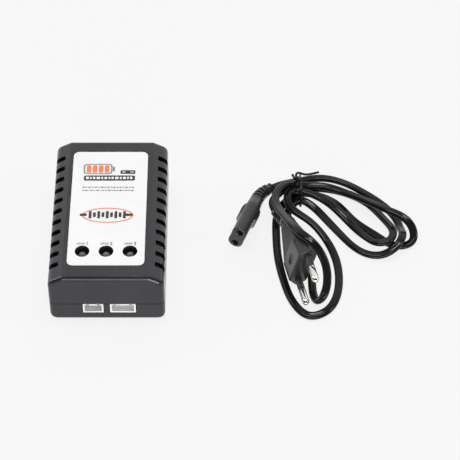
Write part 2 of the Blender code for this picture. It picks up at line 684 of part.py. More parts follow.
def make_transformer(parent, x=-8.0, y=8.0):
    """A ferrite core with two windows and a coil round its middle leg."""
    base = PIECE_BASE
    width, depth, height = 20.0, 6.0, 17.0
    leg, yoke = 5.0, 3.5
    core_box = ((x - width / 2, y - depth / 2, base), (x + width / 2, y + depth / 2, base + height))
    core = finish("transformer_core", box_mesh("core", core_box), "ferrite", parent)
    window = (width - leg - 2 * yoke) / 2
    windows = []
    for side in (-1, 1):
        middle = x + side * (leg + window) / 2
        low = (middle - window / 2, y - depth, base + yoke)
        windows.append((low, (middle + window / 2, y + depth, base + height - yoke)))
    boolean(core, as_cutter("core_windows", box_mesh("core_windows", *windows)))
    reach = leg / 2 + window - GAP
    low = (x - reach, y - reach - 1, base + yoke + GAP)
    high = (x + reach, y + reach + 1, base + height - yoke - GAP)
    coil = finish("transformer_coil", box_mesh("coil", (low, high)), "coil_tape", parent)
    bore = ((x - leg / 2 - GAP, y - depth / 2 - GAP, base), (x + leg / 2 + GAP, y + depth / 2 + GAP, base + height))
    boolean(coil, as_cutter("coil_bore", box_mesh("coil_bore", bore)))


def make_can(name, x, y, radius, height, parent):
    """An upright electrolytic capacitor with a rolled top edge and a groove near its foot."""
    profile = [(0.0, height - 0.2), (radius - 1.0, height - 0.2), (radius - 0.6, height), (radius, height - 0.5)]
    profile += [(radius, 2.4), (radius - 0.4, 2.0), (radius, 1.6), (radius, 0.0), (0.0, 0.0)]
    turned(name, profile, "capacitor_sleeve", parent, (x, y, PIECE_BASE), 16)


def make_block(name, low, size, material, parent, bevel=0.4):
    """A moulded block that stands on the board, with its long edges eased."""
    corner = (low[0], low[1], PIECE_BASE)
    high = (low[0] + size[0], low[1] + size[1], PIECE_BASE + size[2])
    block = finish(name, box_mesh(name, (corner, high)), material, parent)
    edge = block.modifiers.new("ease", "BEVEL")
    edge.width = bevel * MM
    edge.segments = 1
    return block


def make_electronics(parent):
    make_can("bulk_capacitor", -19.0, 20.0, 5.0, 20.0, parent)
    make_can("output_capacitor_1", -19.5, -14.0, 4.0, 12.0, parent)
    make_can("output_capacitor_2", -10.0, -14.0, 4.0, 12.0, parent)
    make_block("mains_choke", (6.0, 9.0), (11.0, 8.0, 12.0), "coil_tape", parent)
    make_block("fuse", (-22.0, 27.4), (9.0, 3.2, 3.2), "ceramic_disc", parent)
    make_block("bridge_rectifier", (13.6, 19.0), (8.0, 7.0, 3.0), "chip_resin", parent)
    make_block("switching_chip", (-23.0, 4.0), (4.0, 9.0, 3.4), "chip_resin", parent)
    make_block("optocoupler", (-23.0, -6.5), (6.4, 4.6, 3.4), "chip_resin", parent)
    make_block("safety_capacitor", (6.0, 2.0), (9.0, 3.4, 8.0), "ceramic_disc", parent)
    make_block("control_chip", (-3.0, -22.6), (12.6, 6.4, 2.2), "chip_resin", parent, 0.2)
    for number in range(1, LAMP_COUNT + 1):
        x = -2.0 + 7.6 * (number - 1)
        make_block(f"charge_transistor_{number}", (x, -10.0), (6.4, 6.0, 2.3), "chip_resin", parent, 0.2)
    make_block("heat_sink", (20.4, -12.0), (1.6, 22.0, 14.0), "aluminium_plate", parent, 0.2)


# Mains lead


def stadium(width, height, count=20):
    """A ring with round ends, in XZ: two half circles, one above and one below the middle."""
    radius = width / 2
    lift = (height - width) / 2
    ring = []
    for index in range(count):
        angle = 2 * math.pi * (index + 0.5) / count
        side = 1.0 if math.sin(angle) > 0 else -1.0
        ring.append((radius * math.cos(angle), radius * math.sin(angle) + side * lift))
    return ring


def hexagon(height, flat, thickness, count=20):
    """A long six-sided ring in XZ with a point above and below, sampled at equal angles of travel."""
    half, edge = thickness / 2, flat / 2
    corners = [(half, edge), (0.0, height / 2), (-half, edge), (-half, -edge), (0.0, -height / 2), (half, -edge)]
    shares = [0.0, 0.25 * 0.7, 0.5 * 0.7, 0.5, 0.5 + 0.25 * 0.7, 0.5 + 0.5 * 0.7]
    places = [share * count for share in shares] + [count]
    xs = np.interp(np.arange(count), places, [corner[0] for corner in corners + corners[:1]])
    zs = np.interp(np.arange(count), places, [corner[1] for corner in corners + corners[:1]])
    return list(zip(xs.tolist(), zs.tolist()))


def ring_at(section, place, heading=(0.0, 1.0, 0.0)):
    """Stand a section across a heading, at a place on the connector's own axes."""
    turn = Vector((0.0, 1.0, 0.0)).rotation_difference(Vector(heading).normalized())
    return [tuple(Vector(place) + turn @ Vector((x, 0.0, z))) for x, z in section]


def relief_rings(path, first, last_radius, steps=5):
    """Rings along the bend through a relief's three guide points, from its first section down to round."""
    start, guide, end = (Vector(point) for point in path)
    count = len(first)
    rings = []
    for step in range(1, steps + 1):
        share = step / steps
        place = start.lerp(guide, share).lerp(guide.lerp(end, share), share)
        heading = (guide - start).lerp(end - guide, share)
        angles = [math.atan2(z, x) for x, z in first]
        section = []
        for index in range(count):
            goal = (last_radius * math.cos(angles[index]), last_radius * math.sin(angles[index]))
            x = first[index][0] * (1 - share) + goal[0] * share
            z = first[index][1] * (1 - share) + goal[1] * share
            section.append((x, z))
        rings.append(ring_at(section, place, heading))
    return rings


def make_connector(lead):
    """The appliance connector: a figure-eight barrel with two brass contacts and a bent strain relief."""
    frame = make_frame("connector_axis", CONNECTOR_NOSE, CONNECTOR_LEAN, CONNECTOR_TURN, lead)
    width, height = CONNECTOR_WIDTH, CONNECTOR_HEIGHT
    neck = stadium(*CONNECTOR_NECK)
    rings = [
        ring_at(stadium(width - 0.8, height - 0.8), (0.0, 0.0, 0.0)),
        ring_at(stadium(width, height), (0.0, 0.5, 0.0)),
        ring_at(stadium(width, height), (0.0, 0.72 * CONNECTOR_BARREL, 0.0)),
        ring_at(neck, (0.0, CONNECTOR_BARREL, 0.0)),
    ]
    rings += relief_rings(CONNECTOR_RELIEF_PATH, neck, RELIEF_END_RADIUS)
    body = finish("appliance_connector", loft_mesh("connector", rings), "lead_vinyl", frame)
    bores = []
    for number, side in ((1, -1), (2, 1)):
        z = side * CONNECTOR_HOLE_SPACING / 2
        outer = CONNECTOR_HOLE_RADIUS + CONTACT_WALL
        bores.append(((0, -1, z), (0, CONNECTOR_HOLE_DEPTH, z), outer + GAP / 2))
        start, end = CONTACT_SETBACK, CONNECTOR_HOLE_DEPTH - GAP
        mesh = cylinder_mesh("contact", ((0, start, z), (0, end, z), outer))
        contact = finish(f"connector_contact_{number}", mesh, "contact_brass", frame)
        bore = cylinder_mesh("contact_bore", ((0, 0, z), (0, end - 1, z), CONNECTOR_HOLE_RADIUS))
        boolean(contact, as_cutter(f"contact_bore_{number}", bore, frame))
    boolean(body, as_cutter("connector_bores", cylinder_mesh("connector_bores", *bores), frame))


def make_plug(lead):
    """The two-pin mains plug, with part-sleeved pins and a strain relief that bends towards the tie."""
    frame = make_frame("plug_axis", PLUG_FACE, PLUG_LEAN, PLUG_TURN, lead)
    block = hexagon(PLUG_HEIGHT, PLUG_FLAT, PLUG_THICKNESS)
    neck = hexagon(*PLUG_NECK)
    rings = [
        ring_at(block, (0.0, 0.0, 0.0)),
        ring_at(block, (0.0, PLUG_BLOCK, 0.0)),
        ring_at(neck, (0.0, PLUG_GRIP_END, 0.0)),
    ]
    rings += relief_rings(PLUG_RELIEF_PATH, neck, RELIEF_END_RADIUS)
    body = finish("mains_plug", loft_mesh("plug", rings), "lead_vinyl", frame)
    bores = []
    shank, full = PLUG_PIN_SHANK_RADIUS, PLUG_PIN_RADIUS
    for number, side in ((1, -1), (2, 1)):
        z = side * PLUG_PIN_SPACING / 2
        bores.append(((0, -1, z), (0, PLUG_PIN_INSERTION + GAP, z), shank + GAP))
        reach = PLUG_PIN_LENGTH - GAP
        profile = [(0.0, PLUG_PIN_INSERTION), (shank, PLUG_PIN_INSERTION), (shank, -PLUG_SLEEVE_LENGTH)]
        profile += [(full, -PLUG_SLEEVE_LENGTH), (full, -reach + 1.2), (full * 0.8, -reach + 0.4)]
        profile += [(full * 0.4, -reach), (0.0, -reach)]
        turned(f"plug_pin_{number}", profile, "plated_pin", frame, (0, 0, z), 16, (-90, 0, 0))
        start, end = -GAP, -PLUG_SLEEVE_LENGTH + GAP
        sleeve = cylinder_mesh("sleeve", ((0, start, z), (0, end, z), full))
        sleeve = finish(f"plug_sleeve_{number}", sleeve, "lead_vinyl", frame)
        bore = cylinder_mesh("sleeve_bore", ((0, 1, z), (0, -PLUG_SLEEVE_LENGTH - 1, z), shank + 0.2))
        boolean(sleeve, as_cutter(f"sleeve_bore_{number}", bore, frame))
    boolean(body, as_cutter("plug_bores", cylinder_mesh("plug_bores", *bores), frame))


def make_lead():
    lead = make_frame("mains_lead")
    tube("mains_cord", smooth_route(CORD_ROUTE, CORD_SAMPLES), CORD_RADIUS, "lead_vinyl", lead)
    make_connector(lead)
    make_plug(lead)
    tube("wire_tie", smooth_route(TIE_ROUTE, 3 * len(TIE_ROUTE)), TIE_RADIUS, "lead_vinyl", lead)


def main():
    charger = make_frame("charger")
    make_case(charger)
    make_labels(charger)
    make_screws(charger)
    make_lamps(charger)
    make_board(charger)
    make_sockets(charger)
    make_inlet(charger)
    make_transformer(charger)
    make_electronics(charger)
    make_lead()


main()
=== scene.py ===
"""Looks of a balance battery charger and the mains lead that lies beside it.

Sizes inside the classes are millimetres in the row frame, or along a connector's own axes, and every mesh is
written in metres. The charger's sockets face -Y, its mains inlet faces +Y, and the lead lies at +X.
"""

from __future__ import annotations

import functools
import itertools
import logging
import math
from dataclasses import dataclass, field
from enum import Enum

import bpy
import numpy as np
from mathutils import Matrix, Vector

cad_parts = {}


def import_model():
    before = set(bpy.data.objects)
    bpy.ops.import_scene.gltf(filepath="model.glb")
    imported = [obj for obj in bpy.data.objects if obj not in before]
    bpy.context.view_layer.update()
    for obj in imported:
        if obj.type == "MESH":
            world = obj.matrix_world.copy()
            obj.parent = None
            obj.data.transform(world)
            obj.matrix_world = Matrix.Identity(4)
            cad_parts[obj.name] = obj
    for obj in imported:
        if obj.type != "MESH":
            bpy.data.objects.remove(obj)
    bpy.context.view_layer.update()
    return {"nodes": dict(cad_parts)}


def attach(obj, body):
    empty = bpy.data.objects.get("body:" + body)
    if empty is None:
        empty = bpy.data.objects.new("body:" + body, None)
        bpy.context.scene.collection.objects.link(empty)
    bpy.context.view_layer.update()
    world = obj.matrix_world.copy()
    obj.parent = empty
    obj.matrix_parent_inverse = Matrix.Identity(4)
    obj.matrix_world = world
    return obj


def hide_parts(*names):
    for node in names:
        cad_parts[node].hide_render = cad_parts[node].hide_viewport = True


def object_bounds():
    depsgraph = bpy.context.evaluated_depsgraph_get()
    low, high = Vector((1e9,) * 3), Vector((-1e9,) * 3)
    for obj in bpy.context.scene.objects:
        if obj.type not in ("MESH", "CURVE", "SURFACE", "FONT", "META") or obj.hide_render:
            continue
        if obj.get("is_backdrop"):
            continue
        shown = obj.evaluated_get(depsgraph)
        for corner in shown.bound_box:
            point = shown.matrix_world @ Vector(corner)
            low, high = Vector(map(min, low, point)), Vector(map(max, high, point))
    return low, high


MM = 0.001
LOG = logging.getLogger("balance_charger")
Array = np.ndarray
Colour = tuple[float, float, float]
Place = tuple[float, float]
Point = tuple[float, float, float]
UP = [0.0, 0.0, 1.0]
FORWARD = np.array(Matrix.Rotation(math.radians(90), 3, "X"))  # turns what stands along Z to lie along Y


class Body(Enum):
    """The two things that move on their own."""

    CHARGER = "charger"
    LEAD = "mains_lead"


class Slot(Enum):
    """The record's material slots, which no piece in this script uses."""

    CASE = "case_plastic"
    LABEL = "label_film"
    LENS = "lamp_lens"
    PIN = "plated_pin"
    VINYL = "lead_vinyl"


# Meshes


@dataclass
class Skin:
    """Vertices and faces of one or more closed surfaces, in millimetres."""

    points: Array
    faces: list[tuple[int, ...]]

    def joined(self, other: Skin) -> Skin:
        """Both skins as one.

        Args:
            other: The skin to add.

        Returns:
            A skin that holds the faces of both.
        """
        shift = len(self.points)
        moved = [tuple(index + shift for index in face) for face in other.faces]
        return Skin(np.concatenate([self.points, other.points]), self.faces + moved)

    def placed(self, turn: Array, origin: Array) -> Skin:
        """The skin turned by a rotation matrix and then moved.

        Args:
            turn: A 3 by 3 rotation matrix.
            origin: Where the skin's own origin goes.

        Returns:
            The placed skin.
        """
        return Skin(self.points @ turn.T + origin, self.faces)

    def mesh(self, name: str) -> bpy.types.Mesh:
        """The skin as a new mesh, in metres."""
        mesh = bpy.data.meshes.new(name)
        mesh.from_pydata((self.points * MM).tolist(), [], self.faces)
        return mesh


def closed_skin(rings: Array, looped: bool = False) -> Skin:
    """A closed surface through rings of points, both ends shut by fans unless the last ring meets the first.

    The surface is P(u, v) on a grid: u counts the rings and v goes once round each. Faces are turned so that
    the volume that they enclose, a sixth of the sum of the triple products of their corners, is positive.

    Args:
        rings: An array of ring, point on the ring, and coordinate.
        looped: Whether the last ring joins the first, as on a torus.

    Returns:
        The closed skin.
    """
    count, around = rings.shape[:2]
    points = rings.reshape(-1, 3)
    u, v = np.meshgrid(np.arange(count if looped else count - 1), np.arange(around), indexing="ij")
    u_next, v_next = (u + 1) % count, (v + 1) % around
    near, far = u * around, u_next * around
    quads = np.stack([near + v, far + v, far + v_next, near + v_next], axis=-1).reshape(-1, 4)
    fans = np.zeros((0, 3), int)
    if not looped:
        points = np.concatenate([points, rings[0].mean(axis=0)[None], rings[-1].mean(axis=0)[None]])
        rim, rim_next = np.arange(around), (np.arange(around) + 1) % around
        first_pole = np.full(around, count * around)
        last = (count - 1) * around
        fans = np.concatenate(
            [
                np.stack([first_pole, rim, rim_next], axis=1),
                np.stack([first_pole + 1, last + rim_next, last + rim], axis=1),
            ]
        )
    halves = np.concatenate([quads[:, [0, 1, 2]], quads[:, [0, 2, 3]], fans])
    if np.linalg.det(points[halves]).sum() < 0:
        quads, fans = quads[:, ::-1], fans[:, ::-1]
    return Skin(points, [tuple(face) for face in [*quads.tolist(), *fans.tolist()]])


def full_turn(count: int) -> Array:
    """Angles once round, evenly spaced from 0."""
    return np.linspace(0.0, 2 * math.pi, count, endpoint=False)


def lathe(profile: list[Place], around: int = 48, looped: bool = False) -> Skin:
    """A profile turned round the Z axis: P(u, v) = (r(u) cos v, r(u) sin v, z(u)).

    Args:
        profile: Radius and height of each point, from one pole to the other.
        around: Points round the axis.
        looped: Whether the profile's last point joins its first, as on a washer.

    Returns:
        The turned skin, standing on the axis.
    """
    radius, height = np.array(profile, float).T
    angle = full_turn(around)
    parts = ((radius, np.cos(angle)), (radius, np.sin(angle)), (height, np.ones(around)))
    return closed_skin(np.stack([np.outer(*part) for part in parts], axis=-1), looped)


def turn_matrix(lean: float, turn: float) -> Array:
    """A lean about Y followed by a turn about Z.

    Args:
        lean: Degrees about Y.
        turn: Degrees about Z.

    Returns:
        The 3 by 3 rotation matrix.
    """
    rotation = Matrix.Rotation(math.radians(turn), 3, "Z") @ Matrix.Rotation(math.radians(lean), 3, "Y")
    return np.array(rotation)


def smooth_step(share: Array) -> Array:
    """0 below 0, 1 above 1, and s^2 (3 - 2 s) between them."""
    held = np.clip(share, 0.0, 1.0)
    return held * held * (3 - 2 * held)


def window(value: Array, low: float, high: float, soft: float) -> Array:
    """1 between two limits and 0 outside them, with a smooth step of a given width at each.

    Args:
        value: Where to work it out.
        low: The lower limit.
        high: The upper limit.
        soft: The width of each step.

    Returns:
        The mask, from 0 to 1.
    """
    return smooth_step((value - low) / soft + 0.5) * smooth_step((high - value) / soft + 0.5)


def unit(vectors: Array) -> Array:
    """A vector, or vectors one to a row, made one long."""
    return vectors / np.linalg.norm(vectors, axis=-1, keepdims=True)


def walked(path: Array) -> Array:
    """How far along a path each of its points lies, measured straight from point to point."""
    return np.concatenate([[0.0], np.cumsum(np.linalg.norm(np.diff(path, axis=0), axis=1))])


def smooth_route(route: list[Point], count: int) -> Array:
    """The natural cubic spline through a route, over its chord length, read at equal steps of its own length.

    Args:
        route: The points that the curve passes through.
        count: How many points to read.

    Returns:
        The points, one to a row.
    """
    knots = np.array(route, float)
    stations = walked(knots)
    spans = np.diff(stations)
    slopes = np.diff(knots, axis=0) / spans[:, None]
    inner = np.arange(1, len(knots) - 1)
    matrix = np.eye(len(knots))
    matrix[inner, inner - 1] = spans[:-1]
    matrix[inner, inner] = 2 * (spans[:-1] + spans[1:])
    matrix[inner, inner + 1] = spans[1:]
    rates = np.zeros_like(knots)
    rates[1:-1] = 6 * np.diff(slopes, axis=0)
    bends = np.linalg.solve(matrix, rates)
    fine = np.linspace(0.0, stations[-1], 20 * count)
    index = np.clip(np.searchsorted(stations, fine, side="right") - 1, 0, len(spans) - 1)
    span = spans[index][:, None]
    left = (stations[index + 1] - fine)[:, None]
    right = (fine - stations[index])[:, None]
    curve = (bends[index] * left**3 + bends[index + 1] * right**3) / (6 * span)
    curve += (knots[index] / span - bends[index] * span / 6) * left
    curve += (knots[index + 1] / span - bends[index + 1] * span / 6) * right
    reached = walked(curve)
    even = np.linspace(0.0, reached[-1], count)
    return np.stack([np.interp(even, reached, curve[:, axis]) for axis in range(3)], axis=1)


def headings(path: Array) -> Array:
    """Unit tangents along a path, one to a row."""
    return unit(np.gradient(path, axis=0))


def swept(path: Array, across: Array, section: Array) -> Array:
    """Rings of a section carried along a path: P(u, v) = path(u) + x(v) side(u) + y(v) rise(u).

    Args:
        path: The centre of each ring.
        across: For each ring, roughly which way the section's X goes.
        section: The section's points, either one section or one for each ring.

    Returns:
        The rings.
    """
    ahead = headings(path)
    side = unit(across - (across * ahead).sum(axis=1)[:, None] * ahead)
    rise = np.cross(side, ahead)
    if section.ndim == 2:
        section = np.broadcast_to(section, (len(path), *section.shape))
    return path[:, None] + section[..., :1] * side[:, None] + section[..., 1:] * rise[:, None]


def shown(name: str, data: bpy.types.ID) -> bpy.types.Object:
    """A new object in the scene that holds some data."""
    obj = bpy.data.objects.new(name, data)
    bpy.context.scene.collection.objects.link(obj)
    return obj


def shade(mesh: bpy.types.Mesh, sharp: float) -> None:
    """Shade a mesh smooth, but keep edges crisp that turn by more than some degrees."""
    mesh.shade_smooth()
    mesh.set_sharp_from_angle(angle=math.radians(sharp))


def stand(name: str, mesh: bpy.types.Mesh, finish: Finish, body: Body) -> bpy.types.Object:
    """Put a finished mesh into the set as a piece that rides on a body.

    Args:
        name: The piece's name.
        mesh: Its mesh, in metres and in place.
        finish: What it is made of.
        body: What it moves with.

    Returns:
        The object.
    """
    mesh.materials.append(finish.material())
    obj = shown(name, mesh)
    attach(obj, body.value)
    LOG.info("%s: %d faces", name, len(mesh.polygons))
    return obj


def piece(
    name: str,
    skin: Skin,
    finish: Finish,
    body: Body = Body.LEAD,
    sharp: float = 40.0,
) -> bpy.types.Object:
    """Make a skin into an object that rides on a body.

    Args:
        name: The piece's name.
        skin: Its closed surface, in millimetres.
        finish: What it is made of.
        body: What it moves with.
        sharp: Edges that turn by more than this many degrees stay crisp.

    Returns:
        The object.
    """
    mesh = skin.mesh(name)
    shade(mesh, sharp)
    return stand(name, mesh, finish, body)


def drill(obj: bpy.types.Object, bit: Skin, sharp: float = 35.0) -> None:
    """Cut a closed skin out of a piece, and keep the result as the piece's own mesh.

    Args:
        obj: The piece to cut.
        bit: What to cut away.
        sharp: Edges that turn by more than this many degrees stay crisp.
    """
    holder = shown("bit", bit.mesh("bit"))
    cut = obj.modifiers.new("drill", "BOOLEAN")
    cut.operation = "DIFFERENCE"
    cut.solver = "EXACT"
    cut.object = holder
    graph = bpy.context.evaluated_depsgraph_get()
    drilled = bpy.data.meshes.new_from_object(obj.evaluated_get(graph))
    obj.modifiers.remove(cut)
    obj.data = drilled
    drilled.name = obj.name
    shade(drilled, sharp)
    bpy.data.objects.remove(holder)


# Finishes


MASKING = ({"Vector": "Vector", "Amount": "Float"}, {"Mask": "Float"})  # what goes into a mask, and comes out


def fill(node: bpy.types.Node, values: dict[str, object]) -> None:
    """Set a node's sockets by name."""
    for label, value in values.items():
        node.inputs[label].default_value = value


class Effects:
    """Shader node groups that several finishes share, each built once."""

    made: dict[str, bpy.types.ShaderNodeTree] = {}

    @classmethod
    def group(
        cls, name: str, inputs: dict[str, str], outputs: dict[str, str]
    ) -> tuple[Sheet, bpy.types.Node | None, bpy.types.Node | None]:
        """A group by name, with its two end nodes while it still has to be filled.

        Args:
            name: The group's name.
            inputs: Socket names and kinds that go in.
            outputs: Socket names and kinds that come out.

        Returns:
            A sheet for adding nodes to the group, and its input and output nodes, or None twice.
        """
        if name in cls.made:
            return Sheet(cls.made[name]), None, None
        tree = cls.made[name] = bpy.data.node_groups.new(name, "ShaderNodeTree")
        for way, sockets in (("INPUT", inputs), ("OUTPUT", outputs)):
            for label, kind in sockets.items():
                tree.interface.new_socket(name=label, in_out=way, socket_type=f"NodeSocket{kind}")
        sheet = Sheet(tree)
        return sheet, sheet.add("NodeGroupInput"), sheet.add("NodeGroupOutput")

    @classmethod
    def grain(cls) -> bpy.types.ShaderNodeTree:
        """Fine moulded or cast grain: a height for the bump and a slow unevenness of shade."""
        sheet, given, out = cls.group(
            "surface_grain", {"Vector": "Vector", "Scale": "Float"}, {"Height": "Float", "Shade": "Float"}
        )
        if given:
            fine = sheet.add("ShaderNodeTexNoise", Detail=4.0, Roughness=0.6)
            pits = sheet.add("ShaderNodeTexVoronoi")
            slow = sheet.add("ShaderNodeTexNoise", Scale=60.0, Detail=3.0)
            mixed = sheet.maths("MULTIPLY_ADD", pits.outputs["Distance"], 0.5, fine.outputs["Fac"])
            for node in (fine, pits):
                sheet.link(given.outputs["Vector"], node.inputs["Vector"])
                sheet.link(given.outputs["Scale"], node.inputs["Scale"])
            sheet.link(given.outputs["Vector"], slow.inputs["Vector"])
            sheet.link(mixed, out.inputs["Height"])
            sheet.link(slow.outputs["Fac"], out.inputs["Shade"])
        return sheet.tree

    @classmethod
    def scuffs(cls) -> bpy.types.ShaderNodeTree:
        """Thin rubbed streaks from handling, as a mask."""
        sheet, given, out = cls.group("handling_scuffs", *MASKING)
        if given:
            drawn = sheet.add("ShaderNodeMapping")
            fill(drawn, {"Scale": (900.0, 90.0, 400.0), "Rotation": (0.2, 0.1, 0.6)})
            streaks = sheet.add("ShaderNodeTexNoise", Scale=1.0, Detail=6.0, Roughness=0.7)
            patches = sheet.add("ShaderNodeTexNoise", Scale=45.0, Detail=2.0)
            sheet.link(given.outputs["Vector"], drawn.inputs["Vector"])
            sheet.link(drawn.outputs["Vector"], streaks.inputs["Vector"])
            sheet.link(given.outputs["Vector"], patches.inputs["Vector"])
            thin = sheet.ramp(streaks.outputs["Fac"], 0.62, 0.72)
            here = sheet.ramp(patches.outputs["Fac"], 0.45, 0.65)
            both = sheet.maths("MULTIPLY", thin, here)
            sheet.link(sheet.maths("MULTIPLY", both, given.outputs["Amount"]), out.inputs["Mask"])
        return sheet.tree

    @classmethod
    def dust(cls) -> bpy.types.ShaderNodeTree:
        """Specks and a thin bloom of dust on what faces up, as a mask."""
        sheet, given, out = cls.group("settled_dust", *MASKING)
        if given:
            geometry = sheet.add("ShaderNodeNewGeometry")
            split = sheet.add("ShaderNodeSeparateXYZ")
            sheet.link(geometry.outputs["Normal"], split.inputs["Vector"])
            upward = sheet.ramp(split.outputs["Z"], 0.2, 0.95)
            bloom = sheet.add("ShaderNodeTexNoise", Scale=160.0, Detail=5.0, Roughness=0.65)
            specks = sheet.add("ShaderNodeTexNoise", Scale=1400.0, Detail=1.0)
            for node in (bloom, specks):
                sheet.link(given.outputs["Vector"], node.inputs["Vector"])
            film = sheet.ramp(bloom.outputs["Fac"], 0.4, 0.8)
            dots = sheet.ramp(specks.outputs["Fac"], 0.7, 0.76)
            laid = sheet.maths("MULTIPLY_ADD", film, 0.35, dots)
            mask = sheet.maths("MULTIPLY", sheet.maths("MULTIPLY", laid, upward), given.outputs["Amount"])
            sheet.link(mask, out.inputs["Mask"])
        return sheet.tree


class Sheet:
    """Adds nodes and links to one shader tree."""

    def __init__(self, tree: bpy.types.ShaderNodeTree) -> None:
        """Keep the tree to work on."""
        self.tree = tree

    def add(self, kind: str, **values: float) -> bpy.types.Node:
        """A new node with some of its sockets set.

        Args:
            kind: The node's type.
            values: Socket values by socket name.

        Returns:
            The node.
        """
        node = self.tree.nodes.new(kind)
        fill(node, values)
        return node

    def link(self, source: bpy.types.NodeSocket, target: bpy.types.NodeSocket) -> None:
        """Join an output to an input."""
        self.tree.links.new(source, target)

    def feed(self, socket: bpy.types.NodeSocket, value: object) -> None:
        """Link a socket, or set a plain value, whichever is given."""
        if isinstance(value, bpy.types.NodeSocket):
            self.link(value, socket)
        else:
            socket.default_value = value

    def maths(self, operation: str, *values: object) -> bpy.types.NodeSocket:
        """The result of a Math node.

        Args:
            operation: Blender's name for the sum.
            values: Sockets or numbers.

        Returns:
            The result's socket.
        """
        node = self.add("ShaderNodeMath")
        node.operation = operation
        for socket, value in zip(node.inputs, values):
            self.feed(socket, value)
        return node.outputs[0]

    def ramp(self, value: bpy.types.NodeSocket, low: float, high: float) -> bpy.types.NodeSocket:
        """A value stretched so that low becomes 0 and high becomes 1, and held there.

        Args:
            value: The value's socket.
            low: What becomes 0.
            high: What becomes 1.

        Returns:
            The stretched value's socket.
        """
        node = self.add("ShaderNodeMapRange")
        node.interpolation_type = "SMOOTHSTEP"
        fill(node, {"From Min": low, "From Max": high})
        self.link(value, node.inputs["Value"])
        return node.outputs["Result"]

    def blend(self, factor: object, first: object, second: object) -> bpy.types.NodeSocket:
        """Two colours mixed.

        Args:
            factor: 0 for the first and 1 for the second.
            first: A colour or its socket.
            second: A colour or its socket.

        Returns:
            The mixed colour's socket.
        """
        node = self.add("ShaderNodeMix")
        node.data_type = "RGBA"
        for socket, value in ((node.inputs[0], factor), (node.inputs[6], first), (node.inputs[7], second)):
            self.feed(socket, (*value, 1.0) if isinstance(value, tuple) else value)
        return node.outputs[2]

    def place(
        self, group: bpy.types.ShaderNodeTree, vector: bpy.types.NodeSocket, **values: float
    ) -> bpy.types.Node:
        """A shared effect put into this tree.

        Args:
            group: The effect's node group.
            vector: Where the pattern is read.
            values: Its other inputs.

        Returns:
            The group node.
        """
        node = self.add("ShaderNodeGroup")
        node.node_tree = group
        self.link(vector, node.inputs["Vector"])
        fill(node, values)
        return node


class Pattern(Enum):
    """What is printed, wound or etched into a finish, besides its grain."""

    PLAIN = 0
    TRACKS = 1
    WINDING = 2
    STRIPE = 3
    TURNING = 4


